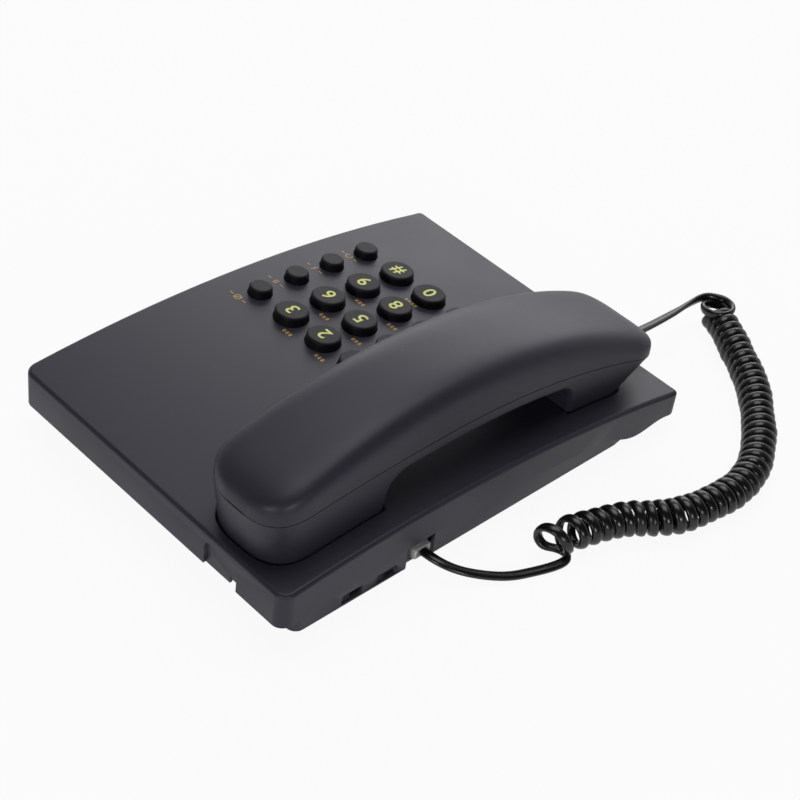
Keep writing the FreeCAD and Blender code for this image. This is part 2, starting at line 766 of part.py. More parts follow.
def base_bottom_cover():
    rim_low, rim_high = rim_recess, rim_recess + rim_thickness
    rear, front = half_d - cover_wall - fit_gap, -half_d + cover_wall + fit_gap
    plate = side_prism([skirt.edge(front, rear, 0, rim_low), skirt.edge(front, rear, 0, rim_high),
                        line(skirt.point(front, 0, rim_low), skirt.point(front, 0, rim_high)),
                        line(skirt.point(rear, 0, rim_low), skirt.point(rear, 0, rim_high))], 2 * tub_half)
    corner = cover_corner_r - cover_wall - fit_gap
    plate = plate.common(plan_prism(-tub_half, tub_half, front, rear, corner, 0, 2 * deck_rear_z))
    under_rim = side_prism([skirt.edge(-half_d, half_d, 0, rim_high), line(skirt.point(half_d, 0, rim_high),
                            Vector(0, half_d, 0)), line(Vector(0, half_d, 0), Vector(0, -half_d, 0)),
                            line(Vector(0, -half_d, 0), skirt.point(-half_d, 0, rim_high))], base_width)
    tub = plan_prism(-tub_half, tub_half, tub_front, tub_rear, tub_corner_r, foot_height, deck_rear_z)
    tray = plate.fuse(tub.common(under_rim))
    inner_r = tub_corner_r - tub_wall
    tray = tray.cut(plan_prism(inner_x, -inner_x, tub_front + tub_wall, tub_rear - tub_wall, inner_r,
                               floor_z, 2 * deck_rear_z))
    for x, y in screw_places:
        tray = tray.fuse(cylinder(x, y, foot_height, boss_top_z, screw_boss_r))
    head_z = foot_height + head_recess + screw_head_h
    for x, y in screw_places:
        tray = tray.cut(cylinder(x, y, 0, head_z, screw_head_r + fit_gap))
        tray = tray.cut(cylinder(x, y, 0, boss_top_z + 1, screw_shank_r + fit_gap))
    for x, y in foot_places:
        tray = tray.cut(cylinder(x, y, 0, foot_height + foot_seat, foot_r))
    for x, y in ring_points(buzzer_x, buzzer_y, vent_ring_r, 6):
        tray = tray.cut(cylinder(x, y, 0, floor_z + 1, vent_r))
    half = handset_jack_recess / 2
    tray = tray.cut(box(wall_x - 1, inner_x, cord_jack_y - half, cord_jack_y + half, foot_height - 1,
                        cord_jack_z + plug_height / 2 + jack_wall))
    for y in switch_places.values():
        tray = tray.cut(box(wall_x - 1, inner_x, y - switch_window_length / 2, y + switch_window_length / 2,
                            switch_z - switch_window_height / 2, switch_z + switch_window_height / 2))
    half = line_slot_width / 2
    return tray.cut(box(line_jack_x - half, line_jack_x + half, tub_rear - tub_wall - 1, tub_rear + 1,
                        line_slot_z, line_slot_z + line_slot_height))


def slide_switch(y):
    """Switch body behind its window, with the groove that the knob's tongue runs in, and the knob."""
    half = switch_window_length / 2 + switch_body_margin
    top = switch_z + switch_window_height / 2 + switch_body_margin
    body = box(inner_x, inner_x + switch_body_depth, y - half, y + half, floor_z, top)
    groove = (switch_window_length / 2, knob_tongue / 2 + knob_gap)
    body = body.cut(box(inner_x - 1, inner_x + knob_tongue + knob_gap, y - groove[0], y + groove[0],
                        switch_z - groove[1], switch_z + groove[1]))
    knob_half_z = switch_window_height / 2 - knob_gap
    rear = y + switch_window_length / 2 - knob_gap
    front = rear - knob_length
    knob = box(wall_x + knob_reveal, inner_x - knob_gap, front, rear, switch_z - knob_half_z,
               switch_z + knob_half_z)
    tongue = box(inner_x - knob_gap, inner_x + knob_tongue, front + knob_gap, rear - knob_gap,
                 switch_z - knob_tongue / 2, switch_z + knob_tongue / 2)
    return body, knob.fuse(tongue).removeSplitter()


def hook_parts():
    flange_top = ear_floor_z - cover_wall - hook_travel - fit_gap
    flange_low = flange_top - hook_flange_h
    half_x, half_y = hook_width / 2, hook_length / 2
    x, y = handset_x, hook_y
    top = box(x - half_x, x + half_x, y - half_y, y + half_y, flange_low, ear_floor_z)
    top = top.makeFillet(1.2, [edge for edge in top.Edges if edge.BoundBox.ZMin > ear_floor_z - 0.01])
    half_x, half_y = half_x + hook_flange, half_y + hook_flange
    flange = box(x - half_x, x + half_x, y - half_y, y + half_y, flange_low, flange_top)
    pin = cylinder(handset_x, hook_y, floor_z + 1.0, flange_low, hook_pin_r)
    plunger = top.fuse(flange).fuse(pin).removeSplitter()
    low, high = floor_z + spring_end_gap, flange_low - spring_end_gap
    rise = high - low - spring_wire

    def spring_point(turn):
        angle = 2 * math.pi * turn
        return Vector(x + spring_mean_r * math.cos(angle), y + spring_mean_r * math.sin(angle),
                      low + spring_wire / 2 + rise * turn / spring_turns)

    spring = wound_tube(spring_point, spring_turns, spring_wire)
    switch_x = handset_x + half_x + 1.0
    switch = box(switch_x, switch_x + 7, hook_y - 5, hook_y + 5, floor_z, flange_low - 1.5)
    button = box(switch_x + 2, switch_x + 4, hook_y - 1.5, hook_y + 1.5, flange_low - 1.5, flange_low - 0.5)
    switch = switch.fuse(button).removeSplitter()
    return {"hook_plunger": plunger, "hook_spring": spring, "hook_switch": switch}


def base_parts():
    head_z = foot_height + head_recess + screw_head_h
    grip = boss_top_z + screw_grip - head_z - fit_gap
    screws = [screw(x, y, head_z, screw_shank_r, screw_head_r, screw_head_h, grip) for x, y in screw_places]
    feet = []
    for x, y in foot_places:
        foot = cylinder(x, y, 0, foot_height + foot_seat, foot_r)
        feet.append(foot.makeFillet(0.6, round_edges(foot, 0)))
    rear = tub_rear - tub_wall
    slot = line_slot_width / 2
    half = slot + line_slot_wall
    line_jack = box(line_jack_x - half, line_jack_x + half, rear - line_jack_depth, rear, floor_z,
                    line_slot_z + line_slot_height + line_slot_wall)
    line_jack = line_jack.cut(box(line_jack_x - slot, line_jack_x + slot, rear - line_slot_depth, rear + 1,
                                  line_slot_z, line_slot_z + line_slot_height))
    buzzer = cylinder(buzzer_x, buzzer_y, floor_z, floor_z + buzzer_h, buzzer_r)
    buzzer = buzzer.cut(cylinder(buzzer_x, buzzer_y, floor_z - 1, floor_z + 1.5, buzzer_r - 2.0))
    parts = {
        "base_top_cover": base_top_cover(),
        "base_bottom_cover": base_bottom_cover(),
        "base_feet": Part.Compound(feet),
        "base_screws": Part.Compound(screws),
        "line_jack": line_jack,
        "base_cord_jack": socket("x", inner_x, cord_jack_y, cord_jack_z, jack_depth),
        "base_plug": modular_plug("x", base_plug_x, cord_jack_y, cord_jack_z),
        "ringer_buzzer": buzzer,
    }
    for name, y in switch_places.items():
        body, knob = slide_switch(y)
        parts[name + "_switch"] = body
        parts[name + "_knob"] = knob
    parts.update(hook_parts())
    return parts


# Cord: two straight tails and the curls between them

def biarc(a, a_dir, b, b_dir):
    """Two tangent arcs from a to b with the given end directions."""
    span = b - a
    turn = a_dir + b_dir
    bend = 2 * (1 - a_dir.dot(b_dir))
    along = span.dot(turn)
    reach = (math.sqrt(along ** 2 + bend * span.dot(span)) - along) / bend
    joint = (a + a_dir * reach + b - b_dir * reach) * 0.5
    return [tangent_arc(a, a_dir, joint), tangent_arc(b, b_dir * -1, joint)]


def tangent_arc(start, direction, end):
    chord = end - start
    length = chord.Length
    across = direction - chord * (direction.dot(chord) / length ** 2)
    angle = math.acos(max(-1.0, min(1.0, direction.dot(chord) / length)))
    across.normalize()
    middle = start + chord * 0.5 + across * (length / 2 * math.tan(angle / 2))
    return Part.Arc(start, middle, end).toShape()


def pipe(edges, start, direction, diameter):
    ring = Part.Wire(Part.Circle(start, direction, diameter / 2).toShape())
    shell = Part.BRepOffsetAPI.MakePipeShell(Part.Wire(Part.__sortEdges__(edges)))
    shell.add(ring)
    shell.build()
    shell.makeSolid()
    return shell.shape()


def direction_at(point, turn):
    step = 1e-4
    heading = point(turn + step) - point(turn - step)
    heading.normalize()
    return heading


def wound_tube(point, turns, diameter):
    """Round tube along quarter-turn biarcs of a wound line, straight for one diameter at each end."""
    stops = [turns * i / round(turns * 4) for i in range(round(turns * 4) + 1)]
    edges = []
    for a, b in zip(stops, stops[1:]):
        edges += biarc(point(a), direction_at(point, a), point(b), direction_at(point, b))
    start, end = direction_at(point, 0.0), direction_at(point, turns)
    first, last = point(0.0) - start * diameter, point(turns) + end * diameter
    edges = [line(first, point(0.0))] + edges + [line(point(turns), last)]
    return pipe(edges, first, start, diameter)


class Route:
    """Straight runs between hand-chosen points, joined by the largest tangent arcs that the runs allow."""

    def __init__(self, points):
        self.pieces = []
        self.radii = []
        points = [Vector(*p) for p in points]
        start = points[0]
        for before, corner, after in zip(points, points[1:], points[2:]):
            into, out = corner - before, after - corner
            trim = 0.45 * min(into.Length, out.Length)
            into.normalize()
            out.normalize()
            half = math.acos(max(-1.0, min(1.0, into.dot(out)))) / 2
            radius = trim / math.tan(half)
            a, b = corner - into * trim, corner + out * trim
            inner = out - into
            inner.normalize()
            middle = corner + inner * (radius / math.cos(half) - radius)
            self.pieces.append(line(start, a))
            self.pieces.append(Part.Arc(a, middle, b).toShape())
            self.radii.append(radius)
            start = b
        self.pieces.append(line(start, points[-1]))
        self.length = sum(piece.Length for piece in self.pieces)

    def at(self, distance):
        """Point and direction at a distance along the route."""
        for piece in self.pieces:
            if distance <= piece.Length or piece is self.pieces[-1]:
                parameter = piece.getParameterByLength(max(0.0, min(distance, piece.Length)))
                heading = piece.tangentAt(parameter)
                return piece.valueAt(parameter) + heading * max(0.0, distance - piece.Length), heading
            distance -= piece.Length

    def tube(self, name, diameter):
        start, heading = self.at(0.0)
        solid = pipe(self.pieces, start, heading, diameter)
        expected = math.pi * diameter ** 2 / 4 * self.length
        print(name, "length %.1f" % self.length, "volume ratio %.4f" % (solid.Volume / expected),
              "radii", ["%.1f" % r for r in self.radii])
        return solid


coil_axis = [(-94.0, -5.0), (-98.5, -22.0), (-103.0, -37.0), (-113.0, -52.0), (-117.5, -74.0),
             (-115.5, -93.5), (-105.5, -111.5), (-84.0, -135.5), (-63.0, -149.0), (-46.0, -158.0)]


def curl_line():
    """Function of the curls' line by turn, wound right-handed about the axis, loosest at the base end."""
    mean_r = (coil_outer_d - cord_d) / 2
    axis = Route([(x, y, coil_outer_d / 2 + floor_gap) for x, y in coil_axis])
    turns = coil_turns + coil_last_turn
    spread = loose_turns * (1 - math.exp(-turns / loose_turns))
    pitch = (axis.length - loose_pitch * spread) / (turns - spread)

    def point(turn):
        loose = loose_turns * (1 - math.exp(-turn / loose_turns))
        centre, heading = axis.at(pitch * turn + (loose_pitch - pitch) * loose)
        side = Vector(0, 0, 1).cross(heading)
        angle = 2 * math.pi * turn - math.pi / 2
        return centre + side * (mean_r * math.cos(angle)) + Vector(0, 0, mean_r * math.sin(angle))

    return point, turns


def least_gap(point, turns, diameter):
    """Smallest clear distance from a wound tube to its own next turn, measured on points along it."""
    per_turn = 36
    points = [point(i / per_turn) for i in range(int(turns * per_turn) + 1)]
    gap = min((a - b).Length for i, a in enumerate(points)
              for b in points[i + per_turn // 2:i + 3 * per_turn // 2])
    return gap - diameter


def cord_parts():
    point, turns = curl_line()
    print("curls", turns, "least gap to itself %.2f" % least_gap(point, turns, cord_d))
    floor = floor_gap + cord_d / 2
    start_dir, end_dir = direction_at(point, 0.0), direction_at(point, turns)
    coil_start = point(0.0) - start_dir * cord_d
    coil_end = point(turns) + end_dir * cord_d
    into = coil_start - start_dir * 4.2
    y, z = cord_jack_y, cord_jack_z
    base_tail = Route([(base_plug_x, y, z), (base_plug_x - 5.5, y, z), (-82.5, 30.6, 5.8),
                       (-88.5, 26.2, 3.0), (-95.6, 18.9, floor), (-101.1, 11.8, floor),
                       (-103.3, 5.2, floor), (-102.6, 1.0, floor), tuple(into), tuple(coil_start)])
    out = coil_end + end_dir * 5.0
    x, z = handset_x, plug_z
    handset_tail = Route([tuple(coil_end), tuple(out), (-40.4, -142.0, 13.6), (-41.3, -129.5, 17.2),
                          (-42.4, -113.5, 20.2), (x, -97.0, z - 0.3), (x, -88.5, z),
                          (x, handset_plug_front, z)])
    coil = wound_tube(point, turns, cord_d)
    return {
        "cord_base_tail": base_tail.tube("base tail", cord_d),
        "cord_coil": coil,
        "cord_handset_tail": handset_tail.tube("handset tail", cord_d),
    }


def main():
    os.makedirs("parts", exist_ok=True)
    parts = {}
    for group in (base_parts, keypad_parts, handset_parts, cord_parts):
        parts.update(group())
    for name, shape in parts.items():
        if not shape.isValid():
            print("not valid:", name)
        shape.exportStep("parts/" + name + ".step")
        print("%-24s solids %2d volume %9.1f" % (name, len(shape.Solids), shape.Volume))
    print("nodes", len(parts))


main()
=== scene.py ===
import json
import math
import random

import bmesh
import bpy
from mathutils import Matrix, Vector


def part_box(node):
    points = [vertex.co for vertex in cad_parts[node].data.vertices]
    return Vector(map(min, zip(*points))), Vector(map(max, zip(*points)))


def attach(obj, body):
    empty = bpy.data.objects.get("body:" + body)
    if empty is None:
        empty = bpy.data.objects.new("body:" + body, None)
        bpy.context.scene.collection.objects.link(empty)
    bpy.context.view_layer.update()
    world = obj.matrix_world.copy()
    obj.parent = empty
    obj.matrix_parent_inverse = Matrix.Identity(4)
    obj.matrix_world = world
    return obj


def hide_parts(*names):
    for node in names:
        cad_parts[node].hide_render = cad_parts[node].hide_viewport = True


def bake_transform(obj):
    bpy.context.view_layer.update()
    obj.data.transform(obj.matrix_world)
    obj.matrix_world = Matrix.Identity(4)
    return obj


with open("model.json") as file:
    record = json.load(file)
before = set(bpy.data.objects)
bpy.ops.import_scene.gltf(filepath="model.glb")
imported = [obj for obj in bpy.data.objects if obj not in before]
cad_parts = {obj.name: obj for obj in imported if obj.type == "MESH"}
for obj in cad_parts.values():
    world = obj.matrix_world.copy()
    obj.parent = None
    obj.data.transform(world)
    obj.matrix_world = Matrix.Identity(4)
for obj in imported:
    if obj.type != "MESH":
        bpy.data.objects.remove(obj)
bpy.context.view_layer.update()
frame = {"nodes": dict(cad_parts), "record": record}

scene = bpy.context.scene
scene.view_settings.view_transform = "Standard"
nodes = frame["nodes"]
mm = 0.001
print("frame loaded with", len(nodes), "nodes")


class Tone:  # one output in a node tree; sums of two add their own nodes
    def __init__(self, tree, socket=None):
        self.tree = tree
        self.socket = socket

    def node(self, kind, settings=None, sockets=None, out=0):
        made = self.tree.nodes.new(kind)
        for key, value in (settings or {}).items():
            setattr(made, key, value)
        for key, value in (sockets or {}).items():
            if isinstance(value, Tone):
                self.tree.links.new(value.socket, made.inputs[key])
            else:
                made.inputs[key].default_value = value
        return Tone(self.tree, made.outputs[out] if made.outputs else None)

    def sum(self, operation, first, second):
        return self.node("ShaderNodeMath", {"operation": operation}, {0: first, 1: second})

    def __add__(self, other):
        return self.sum("ADD", self, other)

    def __radd__(self, other):
        return self.sum("ADD", other, self)

    def __sub__(self, other):
        return self.sum("SUBTRACT", self, other)

    def __rsub__(self, other):
        return self.sum("SUBTRACT", other, self)

    def __mul__(self, other):
        return self.sum("MULTIPLY", self, other)

    def __gt__(self, other):
        return self.sum("GREATER_THAN", self, other)

    def __lt__(self, other):
        return self.sum("LESS_THAN", self, other)


def rgba(shade):
    return (*shade, 1.0)


def startMaterial(name):
    material = bpy.data.materials.new(name)
    material.use_nodes = True
    material.node_tree.nodes.clear()
    tone = Tone(material.node_tree)
    return material, tone, tone.node("ShaderNodeTexCoord", out="Object")


def noise(where, size, detail=2.0, rough=0.5):  # size in millimetres
    return where.node("ShaderNodeTexNoise", {}, {
        "Vector": where, "Scale": 1.0 / (size * mm), "Detail": detail, "Roughness": rough})


def cells(where, size):
    return where.node("ShaderNodeTexVoronoi", {}, {"Vector": where, "Scale": 1.0 / (size * mm)})


def mixColour(share, first, second):
    return share.node("ShaderNodeMix", {"data_type": "RGBA"}, {0: share, 6: first, 7: second}, 2)


def bump(height, strength, depth):
    return height.node("ShaderNodeBump", {}, {"Strength": strength, "Distance": depth * mm, "Height": height})


def tinted(pattern, look):
    return mixColour(pattern, rgba(look["dark"]), rgba(look["light"]))


def spread(pattern, amount):  # a pattern from 0 to 1, about its middle
    return (pattern - 0.5) * amount


def rubbed(pattern, look):
    return look["rough"] + spread(pattern, look["roughSpread"])


def shadeOf(tone, look, tint, rough, relief, more=None):
    normal = bump(relief, look["bump"], look["depth"])
    surface = tone.node("ShaderNodeBsdfPrincipled", {}, {
        "Base Color": tint, "Roughness": rough, "Normal": normal, **(more or {})})
    tone.node("ShaderNodeOutputMaterial", {}, {"Surface": surface})


plasticShared = {"roughSpread": 0.12, "grain": 0.3, "fine": 0.6, "grainRough": 0.06, "smudge": 8, "bump": 0.2,
                 "depth": 0.03, "dustSize": 0.03, "dust": 0.3, "dustPatch": 40, "dustFrom": 0.48,
                 "tint": (0.95, 0.92, 1.0)}
plasticLook = {
    "casing": {"dark": (0.0255, 0.0240, 0.0355), "light": (0.0315, 0.0300, 0.0430), "rough": 0.44,
               "cloud": 60, "grain": 0.35, "smudge": 26, "bump": 0.22, "gloss": 0.36, "dustGap": 5.5,
               "dustSize": 0.035, "dust": 0.35, "dustColour": (0.2, 0.2, 0.21)},
    "key": {"dark": (0.010, 0.010, 0.0115), "light": (0.014, 0.014, 0.016), "rough": 0.46, "cloud": 9,
            "smudge": 6, "bump": 0.15, "depth": 0.02, "gloss": 0.16, "dustGap": 3.5,
            "dustColour": (0.16, 0.16, 0.16)},
    "fitting": {"dark": (0.012, 0.012, 0.013), "light": (0.018, 0.018, 0.02), "rough": 0.55,
                "roughSpread": 0.15, "cloud": 12, "gloss": 0.4, "dustGap": 4.0,
                "dustColour": (0.15, 0.15, 0.15)},
    "rubber": {"dark": (0.022, 0.022, 0.022), "light": (0.034, 0.033, 0.032), "rough": 0.82, "cloud": 7,
               "grain": 0.22, "smudge": 5, "bump": 0.4, "depth": 0.05, "gloss": 0.3, "dustGap": 2.0,
               "dustSize": 0.05, "dust": 0.4, "dustColour": (0.13, 0.125, 0.12)},
    "silicone": {"dark": (0.30, 0.30, 0.29), "light": (0.38, 0.38, 0.365), "rough": 0.7, "roughSpread": 0.1,
                 "cloud": 14, "gloss": 0.35, "dustGap": 3.0, "dustSize": 0.04, "dust": 0.4,
                 "dustColour": (0.5, 0.5, 0.48)},
}


def mouldedPlastic(name, own):
    look = {**plasticShared, **own}
    material, tone, where = startMaterial(name)
    cloud = noise(where, look["cloud"], 3)
    grain = noise(where, look["grain"], 2, look["fine"])
    wiped = noise(where, look["smudge"], 4, look["fine"])
    specks = cells(where, look["dustGap"]) < look["dustSize"]
    dust = specks * (noise(where, look["dustPatch"]) > look["dustFrom"])
    tint = mixColour(dust * look["dust"], tinted(cloud, look), rgba(look["dustColour"]))
    shadeOf(tone, look, tint, rubbed(wiped, look) + spread(grain, look["grainRough"]), grain, {
        "Specular IOR Level": look["gloss"], "Specular Tint": rgba(look["tint"])})
    return material


casing = mouldedPlastic("charcoalCasing", plasticLook["casing"])
keyPlastic = mouldedPlastic("keyPlastic", plasticLook["key"])
fittingPlastic = mouldedPlastic("blackFitting", plasticLook["fitting"])
rubber = mouldedPlastic("footRubber", plasticLook["rubber"])
silicone = mouldedPlastic("siliconeMat", plasticLook["silicone"])

inkShared = {"grain": 0.25, "fine": 0.6, "roughSpread": 0.1, "bump": 0.15, "depth": 0.015}
inkLook = {
    "digit": {"dark": (0.78, 0.80, 0.20), "light": (0.90, 0.91, 0.30), "wear": 1.6, "rough": 0.5},
    "mark": {"dark": (0.40, 0.23, 0.07), "light": (0.56, 0.34, 0.11), "wear": 1.2, "rough": 0.45},
}


def printedInk(name, own):
    look = {**inkShared, **own}
    material, tone, where = startMaterial(name)
    worn = noise(where, look["wear"], 3, look["fine"])
    grain = noise(where, look["grain"])
    shadeOf(tone, look, tinted(worn, look), rubbed(grain, look), grain)
    return material


digitInk = printedInk("digitInk", inkLook["digit"])
markInk = printedInk("markInk", inkLook["mark"])

metalShared = {"fine": 0.6, "bump": 0.12, "depth": 0.01}
metalLook = {
    "steel": {"dark": (0.46, 0.46, 0.47), "light": (0.62, 0.62, 0.62), "rough": 0.32, "roughSpread": 0.25,
              "streak": 0.5, "stain": 3.0, "stretch": (1, 1, 6)},
    "gold": {"dark": (0.72, 0.48, 0.16), "light": (0.86, 0.62, 0.26), "rough": 0.24, "roughSpread": 0.15,
             "streak": 0.3, "stain": 1.0, "stretch": (1, 5, 1)},
}


def turnedMetal(name, own):
    look = {**metalShared, **own}
    material, tone, where = startMaterial(name)
    stretched = where.node("ShaderNodeMapping", {}, {"Vector": where, "Scale": look["stretch"]})
    streak = noise(stretched, look["streak"], 3, look["fine"])
    stain = noise(where, look["stain"], 3)
    shadeOf(tone, look, tinted(stain, look), rubbed(streak, look), streak, {"Metallic": 1.0})
    return material


steel = turnedMetal("screwSteel", metalLook["steel"])
gold = turnedMetal("contactGold", metalLook["gold"])

boardLook = {"lane": 3.2, "laneGap": 0.06, "offset": 0.37, "squash": 1.6, "turn": 45, "weave": 0.6,
             "dark": (0.02, 0.09, 0.04), "light": (0.03, 0.13, 0.06), "trace": (0.07, 0.24, 0.11),
             "traceShare": 0.8, "rough": 0.35, "roughSpread": 0.2, "bump": 0.3, "depth": 0.04}


def boardFinish(name, look):
    material, tone, where = startMaterial(name)
    turned = where.node("ShaderNodeMapping", {}, {
        "Vector": where, "Rotation": (0, 0, math.radians(look["turn"]))})
    lanes = where.node("ShaderNodeTexBrick", {"offset": look["offset"], "squash": look["squash"]}, {
        "Vector": turned, "Scale": 1.0 / (look["lane"] * mm), "Mortar Size": look["laneGap"]}, "Fac")
    weave = noise(where, look["weave"])
    tint = mixColour(lanes * look["traceShare"], tinted(weave, look), rgba(look["trace"]))
    shadeOf(tone, look, tint, rubbed(weave, look), lanes)
    return material


boardGreen = boardFinish("boardLacquer", boardLook)

clearLook = {"dark": (0.78, 0.8, 0.8), "light": (0.9, 0.91, 0.9), "rough": 0.16, "roughSpread": 0.1,
             "clear": 0.45, "flow": 2.5, "fine": 0.4, "bump": 0.1, "depth": 0.05, "bending": 1.49}


def clearMoulding(name, look):
    material, tone, where = startMaterial(name)
    flow = noise(where, look["flow"], 3)
    fine = noise(where, look["fine"])
    shadeOf(tone, look, tinted(flow, look), rubbed(fine, look), flow, {
        "Transmission Weight": look["clear"], "IOR": look["bending"]})
    return material


clearPlastic = clearMoulding("clearPlug", clearLook)

jacketLook = {"dark": (0.0045, 0.0045, 0.005), "light": (0.008, 0.008, 0.009), "rough": 0.27,
              "roughSpread": 0.14, "cloud": 8, "fine": 0.5, "drawn": (60, 9, 1), "lineRough": 0.08,
              "lineShare": 0.6, "bump": 0.12, "depth": 0.05, "gloss": 0.5}


def glossyJacket(name, look):
    material, tone, where = startMaterial(name)
    along = tone.node("ShaderNodeUVMap", {"uv_map": "jacket"})
    drawn = tone.node("ShaderNodeMapping", {}, {"Vector": along, "Scale": look["drawn"]})
    line = tone.node("ShaderNodeTexNoise", {}, {"Vector": drawn, "Scale": 1.0, "Detail": 2.0})
    cloud = noise(where, look["cloud"])
    fine = noise(where, look["fine"])
    ripple = line * look["lineShare"] + fine * (1 - look["lineShare"])
    rough = rubbed(cloud, look) + spread(line, look["lineRough"])
    shadeOf(tone, look, tinted(cloud, look), rough, ripple, {"Specular IOR Level": look["gloss"]})
    return material


jacket = glossyJacket("cordJacket", jacketLook)
print("materials made:", len(bpy.data.materials))

cameraLook = {
    "place": (-0.3810, 0.4037, 0.4755), "lens": 87.13, "sensor": 36.0, "near": 0.01,
    "forward": (0.5118, -0.5727, -0.6404), "up": (0.5266, -0.3798, 0.7606),
}


def setCamera(look):
    data = bpy.data.cameras.new("photoCamera")
    data.lens, data.sensor_width, data.sensor_fit = look["lens"], look["sensor"], "HORIZONTAL"
    data.clip_start = look["near"]
    back = -Vector(look["forward"]).normalized()
    right = Vector(look["up"]).cross(back).normalized()
    turn = Matrix((right, back.cross(right), back)).transposed().to_4x4()
    camera = bpy.data.objects.new("photoCamera", data)
    scene.collection.objects.link(camera)
    camera.matrix_world = Matrix.Translation(look["place"]) @ turn
    scene.camera = camera


setCamera(cameraLook)

studioLook = {
    # a white backdrop behind the phone and a dark room on the camera's side
    "floorSize": 3.0, "floorSides": 96, "dark": (0.86, 0.86, 0.86), "light": (0.9, 0.9, 0.9),
    "paperGrain": 1.5, "floorGlow": 0.93, "ambient": 0.22,
    "towardCamera": (-0.512, 0.573, 0.640), "roomDark": 0.05, "backdropEdge": (-0.45, 0.45), "mirrored": 0.72,
    # painted light: in reflections the floor glows as a pool round the phone, full within the first distance
    # and fading to the given level beyond the second
    "paintedPoolReach": (0.15, 0.30), "beyondPaintedPool": 0.06,
    "lamps": [
        # name, place, aimed at, size, watts
        ("farPanel", (0.80, -0.95, 0.55), (0, 0, 0.02), (1.2, 0.7), 6.0),
        ("overhead", (0.12, -0.16, 1.10), (0, 0, 0), (0.7, 0.7), 5.0),
        ("nearLeft", (-0.29, 0.96, 0.30), (-0.05, 0.0, 0.03), (0.18, 0.18), 1.8),
        ("nearRight", (-0.92, 0.39, 0.30), (-0.05, 0.0, 0.03), (0.18, 0.18), 1.8),
    ],
}


def eased(value, start, end, low, high):
    return value.node("ShaderNodeMapRange", {"interpolation_type": "SMOOTHSTEP"}, {
        "Value": value, "From Min": start, "From Max": end, "To Min": low, "To Max": high})


def seenDirectly(tone, mirrored):  # 1 for the camera, and the given share in gloss and glass
    camera, gloss, glass = [tone.node("ShaderNodeLightPath", out=name)
                            for name in ("Is Camera Ray", "Is Glossy Ray", "Is Transmission Ray")]
    return tone.node("ShaderNodeClamp", {}, {"Value": camera + (gloss + glass) * mirrored})


def setStudio(look):
    world = bpy.data.worlds.new("studio")
    scene.world = world
    world.use_nodes = True
    world.node_tree.nodes.clear()
    tone = Tone(world.node_tree)
    heading = tone.node("ShaderNodeTexCoord", out="Generated")
    facing = tone.node("ShaderNodeVectorMath", {"operation": "DOT_PRODUCT"}, {
        0: heading, 1: look["towardCamera"]}, "Value")
    backdrop = eased(facing, *look["backdropEdge"], 1.0, look["roomDark"])
    camera = tone.node("ShaderNodeLightPath", out="Is Camera Ray")
    seen = seenDirectly(tone, look["mirrored"])
    room = backdrop * (look["ambient"] + seen * (1.0 - look["ambient"]))
    glow = tone.node("ShaderNodeBackground", {}, {
        "Color": (1, 1, 1, 1), "Strength": camera + (1.0 - camera) * room})
    tone.node("ShaderNodeOutputWorld", {}, {"Surface": glow})

    shape = bmesh.new()
    bmesh.ops.create_circle(shape, cap_ends=True, radius=look["floorSize"], segments=look["floorSides"])
    mesh = bpy.data.meshes.new("paperFloor")
    shape.to_mesh(mesh)
    shape.free()
    floor = bpy.data.objects.new("paperFloor", mesh)
    scene.collection.objects.link(floor)
    material, tone, where = startMaterial("paleFloor")
    paper = noise(where, look["paperGrain"], 3)
    lit = tone.node("ShaderNodeBsdfDiffuse", {}, {"Color": tinted(paper, look)})
    white = tone.node("ShaderNodeEmission", {}, {"Color": (1, 1, 1, 1), "Strength": 1.0})
    away = tone.node("ShaderNodeVectorMath", {"operation": "LENGTH"}, {0: where}, "Value")
    # painted light: glossy rays see a painted pool of white glow round the phone, and a nearly dark floor
    # beyond it
    seen = seenDirectly(tone, eased(away, *look["paintedPoolReach"], look["mirrored"], look["beyondPaintedPool"]))
    mixed = tone.node("ShaderNodeMixShader", {}, {0: seen * look["floorGlow"], 1: lit, 2: white})
    tone.node("ShaderNodeOutputMaterial", {}, {"Surface": mixed})
    mesh.materials.append(material)

    for name, spot, target, size, watts in look["lamps"]:
        lamp = bpy.data.lights.new(name, "AREA")
        lamp.shape, lamp.size, lamp.size_y, lamp.energy = "RECTANGLE", *size, watts
        holder = bpy.data.objects.new(name, lamp)
        scene.collection.objects.link(holder)
        holder.visible_camera = False
        aim = (Vector(target) - Vector(spot)).to_track_quat("-Z", "Y")
        holder.matrix_world = Matrix.Translation(spot) @ aim.to_matrix().to_4x4()


setStudio(studioLook)
print("camera, floor and lamps set")


def addPiece(name, mesh):
    piece = bpy.data.objects.new(name, mesh)
    scene.collection.objects.link(piece)
    return piece


def bakedMesh(piece):  # evaluated mesh of a piece, its modifiers or its curve
    bpy.context.view_layer.update()
    graph = bpy.context.evaluated_depsgraph_get()
    made = piece.evaluated_get(graph)
    return bpy.data.meshes.new_from_object(made, preserve_all_data_layers=True, depsgraph=graph)


def bakeDown(piece):
    baked = bakedMesh(piece)
    piece.modifiers.clear()
    piece.data = baked


def softEdges(mesh, angle):
    for face in mesh.polygons:
        face.use_smooth = True
    mesh.set_sharp_from_angle(angle=math.radians(angle))


def meshFrom(name, points, faces, turn=None):  # points in millimetres
    shape = bmesh.new()
    corners = [shape.verts.new(Vector(point) * mm) for point in points]
    for face in faces:
        shape.faces.new([corners[i] for i in face])
    bmesh.ops.recalc_face_normals(shape, faces=shape.faces)
    if turn is not None:
        shape.transform(turn)
    mesh = bpy.data.meshes.new(name)
    shape.to_mesh(mesh)
    shape.free()
    return mesh


